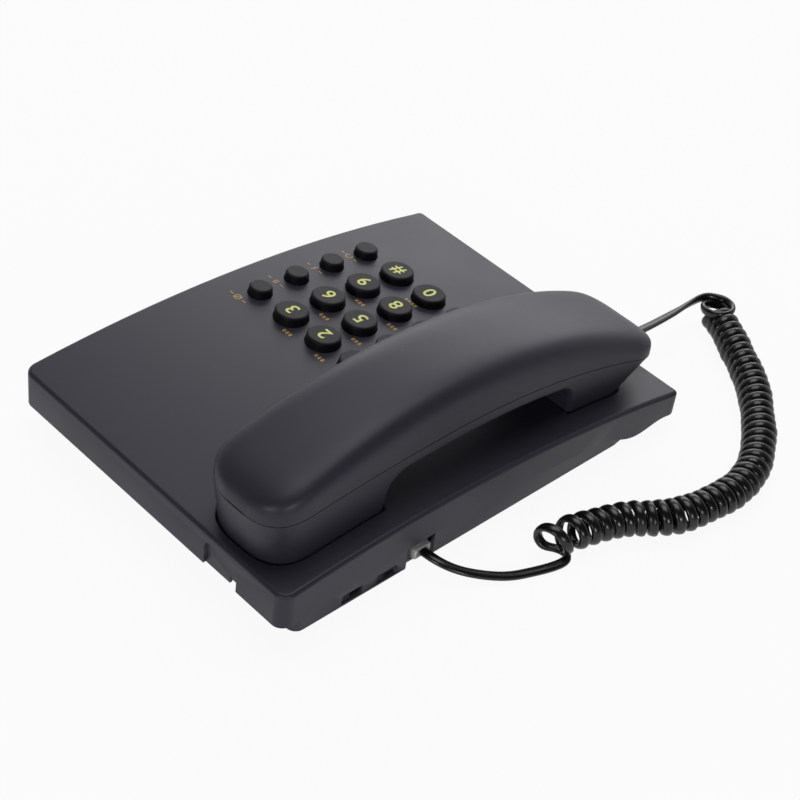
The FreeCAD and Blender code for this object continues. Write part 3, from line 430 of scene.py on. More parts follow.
def joinMeshes(name, meshes):  # one mesh, each part keeping its own material slot
    shape = bmesh.new()
    materials = []
    for mesh in meshes:
        first = len(shape.faces)
        shape.from_mesh(mesh)
        shape.faces.ensure_lookup_table()
        shift = []
        for material in mesh.materials:
            if material not in materials:
                materials.append(material)
            shift.append(materials.index(material))
        for face in shape.faces[first:]:
            face.material_index = shift[face.material_index] if shift else 0
    joined = bpy.data.meshes.new(name)
    shape.to_mesh(joined)
    shape.free()
    for material in materials:
        joined.materials.append(material)
    return joined


def lathe(profile, sides):  # profile of (radius, height) from pole to pole
    points, faces, rings = [], [], []
    for radius, height in profile:
        if radius == 0:
            rings.append([len(points)])
            points.append((0, 0, height))
            continue
        rings.append(list(range(len(points), len(points) + sides)))
        for j in range(sides):
            angle = 2 * math.pi * j / sides
            points.append((radius * math.cos(angle), radius * math.sin(angle), height))
    for low, high in zip(rings, rings[1:]):
        for j in range(sides):
            k = (j + 1) % sides
            if len(low) == 1:
                faces.append((low[0], high[j], high[k]))
            elif len(high) == 1:
                faces.append((low[j], high[0], low[k]))
            else:
                faces.append((low[j], high[j], high[k], low[k]))
    return points, faces


def roundedRing(width, height, radius, steps=5):  # rounded rectangle about 0, 0
    ring = []
    for quarter, (sx, sy) in enumerate(((1, 1), (-1, 1), (-1, -1), (1, -1))):
        for i in range(steps + 1):
            angle = math.pi / 2 * (quarter + i / steps)
            ring.append((sx * (width / 2 - radius) + radius * math.cos(angle),
                         sy * (height / 2 - radius) + radius * math.sin(angle)))
    return ring


def loftRings(rings):
    points = [point for ring in rings for point in ring]
    count = len(rings[0])
    faces = [tuple(range(count)), tuple(range(len(points) - count, len(points)))]
    for i in range(len(rings) - 1):
        for j in range(count):
            k = (j + 1) % count
            faces.append((i * count + j, i * count + k, (i + 1) * count + k, (i + 1) * count + j))
    return points, faces


def finishPiece(piece, material, slot, body, *replaced):
    if material is not None:
        piece.data.materials.clear()
        piece.data.materials.append(material)
    if body:
        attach(piece, body)
    if replaced:
        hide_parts(*replaced)


cordLook = {
    # the flat cord: its width lies along the curls, and leans so that close turns overlap
    "width": 3.9, "thickness": 2.4, "sides": 14, "sectionPower": 0.86, "lean": 16.0, "steps": 6,
    "axisSteps": 24, "turns": 43, "perTurn": 12, "curlRadius": 5.4, "endRadius": 6.3, "endFade": 0.9,
    "wander": 0.24, "seed": 7, "softAngle": 60,
    # the first half turn leans under the coil, and the first turn is drawn back towards the base
    "firstLean": 4.6, "firstDrop": 0.5, "firstPull": 5.6, "pullPower": 0.6,
    "closePitch": 3.75, "loosePitch": 6.2, "looseTurns": 3.2, "endPitch": 1.5, "endTurns": 1.5,
    "axis": [(-94.6, -4.6, 8.2), (-96.4, -12.5, 8.9), (-98.6, -23.5, 7.2), (-101.9, -36.2, 6.9),
             (-113.2, -50.6, 6.9), (-117.8, -74.6, 6.9), (-115.8, -93.8, 6.9), (-105.8, -111.2, 6.9),
             (-83.2, -135.6, 6.9), (-62.6, -148.6, 6.9), (-53.4, -153.9, 7.6), (-47.2, -156.4, 7.7),
             (-44.9, -156.9, 8.8), (-44.8, -157.1, 10.8), (-44.7, -157.3, 12.8)],
    "baseTail": [(-71.0, 34.2, 7.75), (-76.5, 34.0, 7.75), (-83.6, 29.4, 5.4), (-89.4, 21.4, 2.7),
                 (-94.4, 13.6, 1.4), (-97.8, 4.8, 1.2), (-100.4, -2.4, 1.4), (-101.6, -7.6, 2.0),
                 (-99.4, -10.6, 2.1)],
    "handsetTail": [(-36.2, -158.4, 12.2), (-35.4, -150.0, 11.2), (-37.8, -136.0, 14.0),
                    (-40.6, -120.0, 17.8), (-42.6, -106.0, 21.2), (-42.9, -96.0, 22.2),
                    (-42.9, -88.5, 22.4), (-42.9, -77.7, 22.4)],
    # the wide direction along the handset's tail, and how far the strip rolls over beside the curls
    "tailWide": (-0.5, 0.55, 0.67), "endWide": (-1, 0, 0), "tailTurn": 5,
    "rollIn": ((-1, 0.75), (-2, 0.4)), "rollOut": ((0, 0.7), (1, 0.35)), "length": 1.66,
}


def readSpline(controls, steps):  # points of the smooth line that the control points give
    curve = bpy.data.curves.new("route", "CURVE")
    curve.dimensions = "3D"
    spline = curve.splines.new("NURBS")
    spline.points.add(len(controls) - 1)
    for spot, control in zip(spline.points, controls):
        spot.co = (*control, 1.0)
    spline.order_u = 3
    spline.use_endpoint_u = True
    spline.resolution_u = steps
    curve.resolution_u = steps
    holder = addPiece("route", curve)
    mesh = bakedMesh(holder)
    points = [vertex.co.copy() for vertex in mesh.vertices]
    bpy.data.objects.remove(holder)
    bpy.data.curves.remove(curve)
    bpy.data.meshes.remove(mesh)
    return points


def measured(points):
    lengths = [0.0]
    for before, after in zip(points, points[1:]):
        lengths.append(lengths[-1] + (after - before).length)
    return lengths


def curlPoints(look):  # helix about the coil's own line, with the wide direction at each point
    line = readSpline([Vector(point) for point in look["axis"]], look["axisSteps"])
    lengths = measured(line)
    turns = [i / look["perTurn"] for i in range(look["turns"] * look["perTurn"] + 1)]
    advance = [0.0]
    for turn in turns[:-1]:
        pitch = look["closePitch"]
        pitch += (look["loosePitch"] - look["closePitch"]) * math.exp(-turn / look["looseTurns"])
        pitch += (look["endPitch"] - look["closePitch"]) * math.exp(-(turns[-1] - turn) / look["endTurns"])
        advance.append(advance[-1] + pitch / look["perTurn"])
    stretch = lengths[-1] / advance[-1]
    print("coil pitch scale", round(stretch, 3))
    chance = random.Random(look["seed"])
    sway = [(chance.uniform(-1, 1), chance.uniform(-1, 1)) for _ in range(look["turns"] + 2)]
    lean = math.radians(look["lean"])
    controls, wides = [], []
    i = 0
    for turn, distance in zip(turns, advance):
        distance *= stretch
        while i < len(line) - 2 and lengths[i + 1] < distance:
            i += 1
        share = (distance - lengths[i]) / (lengths[i + 1] - lengths[i])
        centre = line[i].lerp(line[i + 1], share)
        heading = (line[min(i + 2, len(line) - 1)] - line[max(i - 1, 0)]).normalized()
        side = Vector((0, 0, 1)).cross(heading).normalized()
        rise = heading.cross(side)
        whole = int(turn)
        part = turn - whole
        drift = [a + (b - a) * part for a, b in zip(sway[whole], sway[whole + 1])]
        ending = math.exp(-(turns[-1] - turn) / look["endFade"])
        radius = look["curlRadius"] + look["wander"] * drift[0]
        radius += (look["endRadius"] - look["curlRadius"]) * ending
        angle = 2 * math.pi * turn - math.pi / 2
        outward = side * math.cos(angle) + rise * math.sin(angle)
        spot = centre + outward * radius / math.cos(math.pi / look["perTurn"])
        spot += side * look["wander"] * drift[1]
        settle = max(0.0, 1 - 2 * turn) ** 2
        early = min(1.0, turn)
        pull = look["firstPull"] * math.sin(math.pi * early ** look["pullPower"]) * (1 - early)
        spot += heading * (look["firstLean"] * settle - pull) - Vector((0, 0, look["firstDrop"] * settle))
        controls.append(spot)
        wides.append(heading * math.cos(lean) + outward * math.sin(lean))
    return controls, wides


def makeCord(look):
    curls, wides = curlPoints(look)
    baseTail = [Vector(point) for point in look["baseTail"]]
    handsetTail = [Vector(point) for point in look["handsetTail"]]
    controls = baseTail + curls + handsetTail
    beyond = baseTail[1:] + [2 * baseTail[-1] - baseTail[-2]]
    before = [Vector((0, 0, 1)).cross(b - a).normalized() for a, b in zip(baseTail, beyond)]
    tailWide, endWide = Vector(look["tailWide"]), Vector(look["endWide"])
    after = [tailWide.lerp(endWide, min(1.0, i / look["tailTurn"])) for i in range(len(handsetTail))]
    for i, share in look["rollIn"]:
        before[i] = before[i].lerp(wides[0], share)
    for i, share in look["rollOut"]:
        sign = 1 if after[i].dot(wides[-1]) > 0 else -1
        after[i] = after[i].lerp(wides[-1] * sign, share)
    allWides = before + wides + after
    for i in range(1, len(allWides)):
        if allWides[i].dot(allWides[i - 1]) < 0:
            allWides[i] = -allWides[i]

    line = readSpline([point * mm for point in controls], look["steps"])
    lengths = measured(line)
    spans = len(controls) - 2
    sides = look["sides"]
    section = []
    for j in range(sides):
        angle = 2 * math.pi * j / sides
        c, s = math.cos(angle), math.sin(angle)
        section.append((math.copysign(abs(c) ** look["sectionPower"], c) * look["width"] / 2,
                        math.copysign(abs(s) ** look["sectionPower"], s) * look["thickness"] / 2))
    rings = []
    for i, spot in enumerate(line):
        ahead = line[min(i + 1, len(line) - 1)] - line[max(i - 1, 0)]
        ahead.normalize()
        reach = i / (len(line) - 1) * spans + 0.5  # the line passes half way between its controls
        low = int(reach)
        wide = allWides[low].lerp(allWides[low + 1], reach - low)
        wide = (wide - ahead * wide.dot(ahead)).normalized()
        thick = ahead.cross(wide)
        rings.append([spot / mm + wide * a + thick * b for a, b in section])
    mesh = meshFrom("curlyCord", *loftRings(rings))
    layer = mesh.uv_layers.new(name="jacket")
    for face in mesh.polygons:
        for loop in face.loop_indices:
            vertex = mesh.loops[loop].vertex_index
            layer.data[loop].uv = (lengths[vertex // sides], vertex % sides / sides)
    softEdges(mesh, look["softAngle"])
    cord = addPiece("curlyCord", mesh)
    print("cord length", round(lengths[-1], 3), "with", len(line), "points")
    return cord, line


cord, cordLine = makeCord(cordLook)
finishPiece(cord, jacket, "cord", None, "cord_base_tail", "cord_coil", "cord_handset_tail")
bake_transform(cord)


plugLook = {
    "width": 7.6, "height": 5.0, "bodyShare": 0.88, "mouth": (4.6, 2.9), "softAngle": 35,
    # place along the plug, how much narrower and lower, corner radius
    "mouthRings": [(3.2, 0.6, 0.5, 0.5), (0.5, 0.0, 0.0, 0.7), (0.0, -0.8, -0.5, 0.8)],
    "bodyRings": [(0.0, 0.7, 0.5, 0.45), (0.35, 0.0, 0.0, 0.45), (9.8, 0.0, 0.0, 0.45), (10.5, 0.2, 0.2, 0.4),
                  (11.0, 0.9, 0.9, 0.35)],
    # place along the plug, rise, share of the latch's width
    "latch": [(10.6, 0.0, 1.0), (9.0, 0.25, 1.0), (6.5, 0.5, 0.9), (3.85, 0.6, 0.7)],
    "latchSize": (3.8, 0.8, 0.25), "latchDrop": 1.0, "blades": 4, "bladePitch": 1.02,
    "bladeSize": (0.36, 1.3, 0.12), "bladeRise": 0.75, "bladeEnds": (7.4, 10.1),
    "basePlace": (-71.0, 34.2, 7.75), "handsetPlace": (-42.9, -77.7, 22.42),
}


def makePlug(look, name, body, node, turn):  # along x from the cord's end into the jack, its latch on top
    low, high = -look["height"] / 2, look["height"] / 2
    tall = look["height"] * look["bodyShare"]
    middle = low + tall / 2

    def ringsOf(rows, width, height):
        return [[(x, a, middle + b) for a, b in roundedRing(width - slim, height - flat, radius)]
                for x, slim, flat, radius in rows]

    rings = ringsOf(look["mouthRings"], *look["mouth"]) + ringsOf(look["bodyRings"], look["width"], tall)
    shell = meshFrom(name, *loftRings(rings), turn=turn)
    wide, thick, corner = look["latchSize"]
    root = high - look["latchDrop"]
    latch = [[(x, a, root + rise + b) for a, b in roundedRing(wide * slim, thick, corner, 3)]
             for x, rise, slim in look["latch"]]
    tab = meshFrom(name + "Latch", *loftRings(latch), turn=turn)
    for mesh in (shell, tab):
        mesh.materials.append(clearPlastic)
        softEdges(mesh, look["softAngle"])
    blades = []
    for i in range(look["blades"]):
        y = (i - (look["blades"] - 1) / 2) * look["bladePitch"]
        strip = [[(x, y + a, low + look["bladeRise"] + b) for a, b in roundedRing(*look["bladeSize"], 2)]
                 for x in look["bladeEnds"]]
        blade = meshFrom(name + "Blade", *loftRings(strip), turn=turn)
        blade.materials.append(gold)
        blades.append(blade)
    piece = addPiece(name, joinMeshes(name, [shell, tab] + blades))
    finishPiece(piece, None, "plugs", body, node)
    return piece


baseTurn = Matrix.Translation(Vector(plugLook["basePlace"]) * mm)
handsetTurn = Matrix.Translation(Vector(plugLook["handsetPlace"]) * mm) @ Matrix.Rotation(math.pi / 2, 4, "Z")
basePlug = makePlug(plugLook, "basePlug", "base", "base_plug", baseTurn)
handsetPlug = makePlug(plugLook, "handsetPlug", "handset", "handset_plug", handsetTurn)
print("cord and plugs made")


deckLook = {"arc": (25.0, 14.5, 8.0, 200.0), "near": 0.05, "facing": 0.998}  # rear, front, rise, depth


def arcOf(rear, front, rise, depth):  # centre and radius of an arc over the base in the side view
    chord = math.hypot(depth, rear - front)
    radius = (chord ** 2 / 4 + rise ** 2) / (2 * rise)
    slope = math.atan2(rear - front, depth)
    y = math.sin(slope) * (radius - rise)
    z = (rear + front) / 2 - math.cos(slope) * (radius - rise)
    return y, z, radius


def arcHeight(arc, y):
    centreY, centreZ, radius = arcOf(*arc)
    return centreZ + math.sqrt(radius ** 2 - (y - centreY) ** 2)


def deckNormal(point, facing):  # true normal where a face lies on the deck's arc
    centreY, centreZ, radius = arcOf(*deckLook["arc"])
    out = Vector((0, point.y - centreY, point.z - centreZ))
    if abs(out.length - radius) < deckLook["near"] and facing.dot(out) > deckLook["facing"] * out.length:
        return out.normalized()
    return None


noseLook = {
    "halfWidth": 72.5, "halfDepth": 100.0, "corner": 5.0, "cornerPower": 5.0,
    "skirt": (10.3, 3.6, 8.3, 200.0), "skirtFrom": 50.0, "skirtBand": 0.4,  # the cover's lower edge
    "dip": 4.0, "dipFrom": 57.0, "dipLength": 38.0,
    "tubFront": 72.0, "tubReach": 9.0, "tubLift": 1.2, "tubBlend": 3.0, "tubFloor": 5.0, "tongues": 80.0,
}


def onSkirt(point):
    near = point.z < arcHeight(noseLook["skirt"], point.y) + noseLook["skirtBand"]
    return point.y < -noseLook["skirtFrom"] and near


def coverNose(point):  # sharper front corners, and a lower edge that dips to the tub's front
    look = noseLook
    x, y, z = point
    if onSkirt(point):
        share = min(1.0, max(0.0, (-look["dipFrom"] - y) / look["dipLength"]))
        z -= look["dip"] * math.sin(math.pi * share) ** 2
    u, v = abs(x) - look["halfWidth"] + look["corner"], -look["halfDepth"] + look["corner"] - y
    if u > 0 and v > 0:
        long, power = math.hypot(u, v), look["cornerPower"]
        reach = ((u / long) ** power + (v / long) ** power) ** (-1 / power)
        x += math.copysign(u * (reach - 1), x)
        y -= v * (reach - 1)
    return Vector((x, y, z))


def tubNose(point):
    look = noseLook
    if point.y < -look["tongues"]:  # the tongues that reach under the cover's front stay
        return point
    share = min(1.0, max(0.0, (look["tubBlend"] - look["tubFront"] - point.y) / look["tubBlend"]))
    lift = look["tubLift"] * share if point.z < look["tubFloor"] else 0.0
    return point + Vector((0, -look["tubReach"] * share, lift))


# two arcs that meet at a peak: the line between the handset's shells, and the top of its back
partingLine = {"peak": 15.0, "top": 48.859, "rear": 625.0, "front": 294.0}
crownLine = {"peak": 20.0, "top": 70.859, "rear": 290.0, "front": 215.0}


def lineHeight(line, y):
    radius = line["rear"] if y > line["peak"] else line["front"]
    return line["top"] - radius + math.sqrt(radius ** 2 - (y - line["peak"]) ** 2)


shellLook = {
    # where the taper of the rear and front ends starts, its length and its power in the plain solid
    "x": -42.9, "half": 20.0, "power": 2.7, "ends": ((79.8, 18.0), (81.7, 17.5)), "endPowers": (2.8, 2.4),
    "endReach": 0.9995,
    # the flatter back with tight edges that is seen in its place
    "flatPower": 4.8, "flat": 0.82, "rearDrop": 0.18, "dropLength": 60.0, "flatPowers": (4.2, 3.2),
    "below": 0.02, "near": 0.25, "step": 0.05, "facing": 0.85,
}


def shellSize(y, powers):  # half width and height of the back's section
    look = shellLook
    taper = 1.0
    for side, (start, long), power in zip((1, -1), look["ends"], powers):
        into = min(look["endReach"], max(0.0, (side * y - start) / long))
        taper *= (1 - into ** power) ** (1 / power)
    return look["half"] * taper, (lineHeight(crownLine, y) - lineHeight(partingLine, y)) * taper


def flatHeight(y):  # the back is lowest over its rear end
    look = shellLook
    drop = look["rearDrop"] * (max(0.0, y - crownLine["peak"]) / look["dropLength"]) ** 2
    return shellSize(y, look["flatPowers"])[1] * (look["flat"] - drop)


def flatterBack(point):
    look = shellLook
    low = lineHeight(partingLine, point.y)
    if point.z <= low:
        return point
    half, crown = shellSize(point.y, look["endPowers"])
    across, up, power = (point.x - look["x"]) / half, (point.z - low) / crown, look["power"]
    level = (abs(across) ** power + up ** power) ** (1 / power)
    share = power / look["flatPower"]
    aside = math.copysign(level * (abs(across) / level) ** share, across) * half
    return Vector((look["x"] + aside, point.y, low + level * (up / level) ** share * flatHeight(point.y)))


def shellLevel(x, y, z):  # 0 on the handset's back
    look = shellLook
    across = abs(x - look["x"]) / shellSize(y, look["endPowers"])[0]
    up = max(0.0, z - lineHeight(partingLine, y)) / flatHeight(y)
    return across ** look["flatPower"] + up ** look["flatPower"] - 1


def shellNormal(point, facing):  # true normal where a face lies on the handset's back
    look = shellLook
    if point.z < lineHeight(partingLine, point.y) - look["below"] or abs(shellLevel(*point)) > look["near"]:
        return None
    slope = Vector()
    for i in range(3):
        ahead, behind = list(point), list(point)
        ahead[i] += look["step"]
        behind[i] -= look["step"]
        slope[i] = shellLevel(*ahead) - shellLevel(*behind)
    slope.normalize()
    return slope if facing.dot(slope) > look["facing"] else None


def paintNormals(mesh, normalAt):
    normals = [corner.vector.copy() for corner in mesh.corner_normals]
    for face in mesh.polygons:
        for loop in face.loop_indices:
            wanted = normalAt(mesh.vertices[mesh.loops[loop].vertex_index].co / mm, face.normal)
            if wanted:
                normals[loop] = wanted
    mesh.normals_split_custom_set(normals)


copyLook = {"weld": 0.002, "longEdge": 3, "cuts": 6, "softAngle": 38, "weight": 60}


def smoothCopy(node, name, material, body, reshape=None, normalAt=None):
    look = copyLook
    mesh = nodes[node].data.copy()
    shape = bmesh.new()
    shape.from_mesh(mesh)
    bmesh.ops.remove_doubles(shape, verts=shape.verts, dist=look["weld"] * mm)
    if reshape:  # more points along the base's lower edge, so that it can bend
        long = [edge for edge in shape.edges if edge.calc_length() > look["longEdge"] * mm
                and all(onSkirt(vertex.co / mm) for vertex in edge.verts)]
        bmesh.ops.subdivide_edges(shape, edges=long, cuts=look["cuts"])
        for vertex in shape.verts:
            vertex.co = reshape(vertex.co / mm) * mm
    shape.to_mesh(mesh)
    shape.free()
    softEdges(mesh, look["softAngle"])
    piece = addPiece(name, mesh)
    weighted = piece.modifiers.new("weighted", "WEIGHTED_NORMAL")
    weighted.keep_sharp = True
    weighted.weight = look["weight"]
    bakeDown(piece)
    if normalAt:
        paintNormals(piece.data, normalAt)
    finishPiece(piece, material, "casing", body, node)


smoothCopy("base_top_cover", "deckCover", casing, "base", coverNose, deckNormal)
smoothCopy("base_bottom_cover", "baseTub", casing, "base", tubNose)
smoothCopy("handset_outer_shell", "handsetBack", casing, "handset", flatterBack, shellNormal)
smoothCopy("handset_inner_shell", "handsetFront", casing, "handset")
smoothCopy("hook_plunger", "hookButton", fittingPlastic, "hook_plunger")
print("covers made")


keyLook = {"edge": 1.0, "edgeSteps": 8, "sides": 72, "flange": 1.2, "draft": 0.15, "wall": 2.6, "corner": 0.2,
           "topRing": 0.5, "topGap": 0.5, "touch": 0.05, "softAngle": 40, "digitSize": 1.248, "starSize": 2.0,
           "digitSteps": 6, "digitWeight": 0.012, "digitLift": 0.035, "digitSink": 0.12}
keyDigits = {"star": "*", "hash": "#"}


def digitMesh(text, size, turn):
    curve = bpy.data.curves.new("digit", "FONT")
    curve.body = text
    curve.size = size * mm
    curve.align_x, curve.align_y = "CENTER", "CENTER"
    curve.resolution_u = keyLook["digitSteps"]
    curve.offset = keyLook["digitWeight"] * size * mm
    curve.extrude = (keyLook["digitLift"] + keyLook["digitSink"]) / 2 * mm
    holder = addPiece("digit", curve)
    mesh = bakedMesh(holder)
    bpy.data.objects.remove(holder)
    bpy.data.curves.remove(curve)
    xs = [vertex.co.x for vertex in mesh.vertices]
    ys = [vertex.co.y for vertex in mesh.vertices]
    middle = Vector(((min(xs) + max(xs)) / 2, (min(ys) + max(ys)) / 2, 0))
    lift = Matrix.Translation((0, 0, (keyLook["digitLift"] - keyLook["digitSink"]) / 2 * mm))
    mesh.transform(turn @ lift @ Matrix.Translation(-middle))
    mesh.materials.clear()
    mesh.materials.append(digitInk)
    return mesh


def makeKeys(look):
    presses = [joint for joint in frame["record"]["behaviour"]["joints"] if joint["name"].endswith("_press")]
    edge, draft, corner, steps = look["edge"], look["draft"], look["corner"], look["edgeSteps"]
    for joint in presses:
        node = joint["child"]
        up = -Vector(joint["axis"]).normalized()
        across = Vector((1, 0, 0))
        along = up.cross(across)
        axes = (across, along, up)
        seen = [[vertex.co.dot(axis) / mm for axis in axes] for vertex in nodes[node].data.vertices]
        middle = [(min(column) + max(column)) / 2 for column in zip(*seen)]
        top = max(point[2] for point in seen)
        foot = min(point[2] for point in seen) - top
        reach = [(math.hypot(a - middle[0], b - middle[1]), h - top) for a, b, h in seen]
        lip = max(radius for radius, _ in reach)
        flange = [h for radius, h in reach if radius > lip - look["touch"]]
        upper, lower = max(flange), min(flange)
        stem = max(radius for radius, h in reach if h < foot + look["touch"])
        radius = lip - look["flange"]
        turn = Matrix(axes).transposed().to_4x4()
        turn.translation = (across * middle[0] + along * middle[1] + up * top) * mm
        profile = [(0, 0), (radius * look["topRing"], 0), (radius - edge - look["topGap"], 0)]
        for i in range(steps + 1):
            angle = math.pi / 2 * i / steps
            profile.append((radius - draft - edge + edge * math.sin(angle), -edge + edge * math.cos(angle)))
        profile += [(radius, -look["wall"]), (radius, upper + draft), (radius + draft, upper),
                    (lip - corner, upper), (lip, upper - corner), (lip, lower + corner),
                    (lip - corner, lower), (stem, lower), (stem, foot + corner), (stem - corner, foot),
                    (0, foot)]
        cap = meshFrom(node, *lathe(profile, look["sides"]), turn=turn)
        cap.materials.append(keyPlastic)
        softEdges(cap, look["softAngle"])
        parts = [cap]
        if node.startswith("dial"):
            label = node.rsplit("_", 1)[1]
            text = keyDigits.get(label, label)
            parts.append(digitMesh(text, radius * look["starSize" if text == "*" else "digitSize"], turn))
        piece = addPiece(node + "Cap", joinMeshes(node + "Cap", parts))
        finishPiece(piece, None, "keys", node, node)


makeKeys(keyLook)
print("keys made")


def onDeck(x, y):  # place on the deck, turned to lie on its slope
    centreY, centreZ, _ = arcOf(*deckLook["arc"])
    z = arcHeight(deckLook["arc"], y)
    tilt = math.atan2(centreY - y, z - centreZ)
    return Matrix.Translation((x * mm, y * mm, z * mm)) @ Matrix.Rotation(tilt, 4, "X"), tilt


markLook = {
    "lift": 0.03, "sink": 0.06, "line": 0.52, "size": 1.35, "bars": (2.5, 4.5),
    "dialPlaces": [(18.4, 4.0), (36.6, 4.0), (0.2, -14.5), (18.4, -14.5), (36.6, -14.5), (0.2, -33.0),
                   (18.4, -33.0), (36.6, -33.0)],
    "dialShift": (-6.8, 7.7), "dialStrokes": 3, "operatorPlace": (20.1, -43.4), "operatorStrokes": 4,
    "dash": (1.05, 1.7, 0.18), "dashStep": 1.75,
    "functionPlaces": {"mute": (57.3, 12.9), "pause": (57.3, -6.1), "flash": (56.8, -25.6),
                       "redial": (56.8, -44.1)},
}


def strokePath(path, width):  # a band of even width along a flat path, as points and faces
    points, faces = [], []
    half = width / 2
    for i, (x, y) in enumerate(path):
        x0, y0 = path[max(i - 1, 0)]
        x1, y1 = path[min(i + 1, len(path) - 1)]
        long = math.hypot(x1 - x0, y1 - y0)
        nx, ny = -(y1 - y0) / long * half, (x1 - x0) / long * half
        points += [(x + nx, y + ny), (x - nx, y - ny)]
    for i in range(len(path) - 1):
        faces.append((2 * i, 2 * i + 1, 2 * i + 3, 2 * i + 2))
    return points, faces


def arcPath(radius, start, end, count=28):
    angles = [math.radians(start + (end - start) * i / count) for i in range(count + 1)]
    return [(radius * math.cos(a), radius * math.sin(a)) for a in angles]


def inlay(name, paths, look, turn):  # thin printed shape with a little body under the surface
    shape = bmesh.new()
    for path in paths:
        points, faces = strokePath(path, look["line"])
        corners = [shape.verts.new((x * mm, y * mm, look["lift"] * mm)) for x, y in points]
        for face in faces:
            shape.faces.new([corners[i] for i in face])
    bmesh.ops.recalc_face_normals(shape, faces=shape.faces)
    for face in shape.faces:
        if face.normal.z < 0:
            face.normal_flip()
    bmesh.ops.solidify(shape, geom=list(shape.faces), thickness=(look["lift"] + look["sink"]) * mm)
    shape.transform(turn)
    mesh = bpy.data.meshes.new(name)
    shape.to_mesh(mesh)
    shape.free()
    return mesh


def makeMarks(look):
    size = look["size"]
    near, far = look["bars"]
    bars = [[(-far, 0), (-near, 0)], [(near, 0), (far, 0)]]
    pictures = {
        "mute": [arcPath(size, 0, 360), [(-size, -size), (size, size)]],
        "pause": [[(-0.5, -size), (-0.5, size)], [(0.5, -size), (0.5, size)]],
        "flash": [[(0.5, size), (-0.55, 0.1)], [(-0.55, 0.1), (0.55, -0.1)], [(0.55, -0.1), (-0.5, -size)]],
        "redial": [arcPath(size, -40, 230), [(size * 0.3, -0.9), (size * 0.95, -0.75)],
                   [(size * 1.35, -0.1), (size * 0.95, -0.75)]],
    }
    meshes = []
    for name, (x, y) in look["functionPlaces"].items():
        meshes.append(inlay(name, pictures[name] + bars, look, onDeck(x, y)[0]))
    joined = joinMeshes("functionMarks", meshes)
    finishPiece(addPiece("functionMarks", joined), markInk, "casing", "base")


makeMarks(markLook)


def startTree(name, inputs):  # a geometry tree, its named inputs and the identifier of each
    tree = bpy.data.node_groups.new(name, "GeometryNodeTree")
    tree.interface.new_socket("Geometry", in_out="OUTPUT", socket_type="NodeSocketGeometry")
    for label, kind in inputs.items():
        tree.interface.new_socket(label, in_out="INPUT", socket_type="NodeSocket" + kind)
    entry = tree.nodes.new("NodeGroupInput")
    given = {label: Tone(tree, entry.outputs[label]) for label in inputs}
    names = {item.name: item.identifier for item in tree.interface.items_tree if item.in_out == "INPUT"}
    return tree, given, names


def endTree(tree, given, points, placing):  # a copy of the piece on each point, all in one painted mesh
    tone = Tone(tree)
    copy = tone.node("GeometryNodeObjectInfo", {"transform_space": "ORIGINAL"}, {
        "Object": given["Piece"], "As Instance": True}, "Geometry")
    many = tone.node("GeometryNodeInstanceOnPoints", {}, {"Points": points, "Instance": copy, **placing})
    real = tone.node("GeometryNodeRealizeInstances", {}, {"Geometry": many})
    painted = tone.node("GeometryNodeSetMaterial", {}, {"Geometry": real, "Material": given["Finish"]})
    tone.node("NodeGroupOutput", {"is_active_output": True}, {"Geometry": painted})


def scatterTree():  # on each point of the host, tilted by its attribute
    tree, given, names = startTree("pieceOnPoints", {
        "Geometry": "Geometry", "Piece": "Object", "Scale": "Float", "Finish": "Material"})
    tone = Tone(tree)
    tilt = tone.node("GeometryNodeInputNamedAttribute", {"data_type": "FLOAT"}, {"Name": "tilt"}, "Attribute")
    turn = tone.node("ShaderNodeCombineXYZ", {}, {"X": tilt})
    spots = tone.node("GeometryNodeMeshToPoints", {}, {"Mesh": given["Geometry"]})
    endTree(tree, given, spots, {"Rotation": turn, "Scale": given["Scale"]})
    return tree, names


def rowTree():  # evenly spaced along a step
    tree, given, names = startTree("pieceInRow", {
        "Piece": "Object", "Count": "Int", "Start": "Vector", "Step": "Vector", "Finish": "Material"})
    line = Tone(tree).node("GeometryNodeMeshLine", {"mode": "OFFSET"}, {
        "Count": given["Count"], "Start Location": given["Start"], "Offset": given["Step"]})
    endTree(tree, given, line, {})
    return tree, names


scatter = scatterTree()
row = rowTree()


def grown(name, kind, values, points=(), tilts=()):  # host mesh with its tree, turned into a plain mesh
    tree, names = kind
    mesh = bpy.data.meshes.new(name)
    mesh.from_pydata([Vector(point) * mm for point in points], [], [])
    if tilts:
        mesh.attributes.new("tilt", "FLOAT", "POINT").data.foreach_set("value", tilts)
    piece = addPiece(name, mesh)
    modifier = piece.modifiers.new("copies", "NODES")
    modifier.node_group = tree
    for key, value in values.items():
        modifier[names[key]] = value
    bakeDown(piece)
    bpy.data.objects.remove(values["Piece"])
    return piece


def makeDashes(look):  # plain strokes beside each dial key
    rings = [[(a, b, z) for a, b in roundedRing(*look["dash"], 3)] for z in (-look["sink"], look["lift"])]
    dash = addPiece("dash", meshFrom("dash", *loftRings(rings)))
    right, up = look["dialShift"]
    groups = [(x + right, y + up, look["dialStrokes"]) for x, y in look["dialPlaces"]]
    groups.append((*look["operatorPlace"], look["operatorStrokes"]))
    spots, tilts = [], []
    for x, y, count in groups:
        turn, tilt = onDeck(x, y)
        for i in range(count):
            shift = (i - (count - 1) / 2) * look["dashStep"] * mm
            spots.append((turn @ Vector((shift, 0, 0))) / mm)
            tilts.append(tilt)
    piece = grown("dialMarks", scatter, {"Piece": dash, "Scale": 1.0, "Finish": markInk}, spots, tilts)
    finishPiece(piece, markInk, "casing", "base")


makeDashes(markLook)
print("deck marks made")


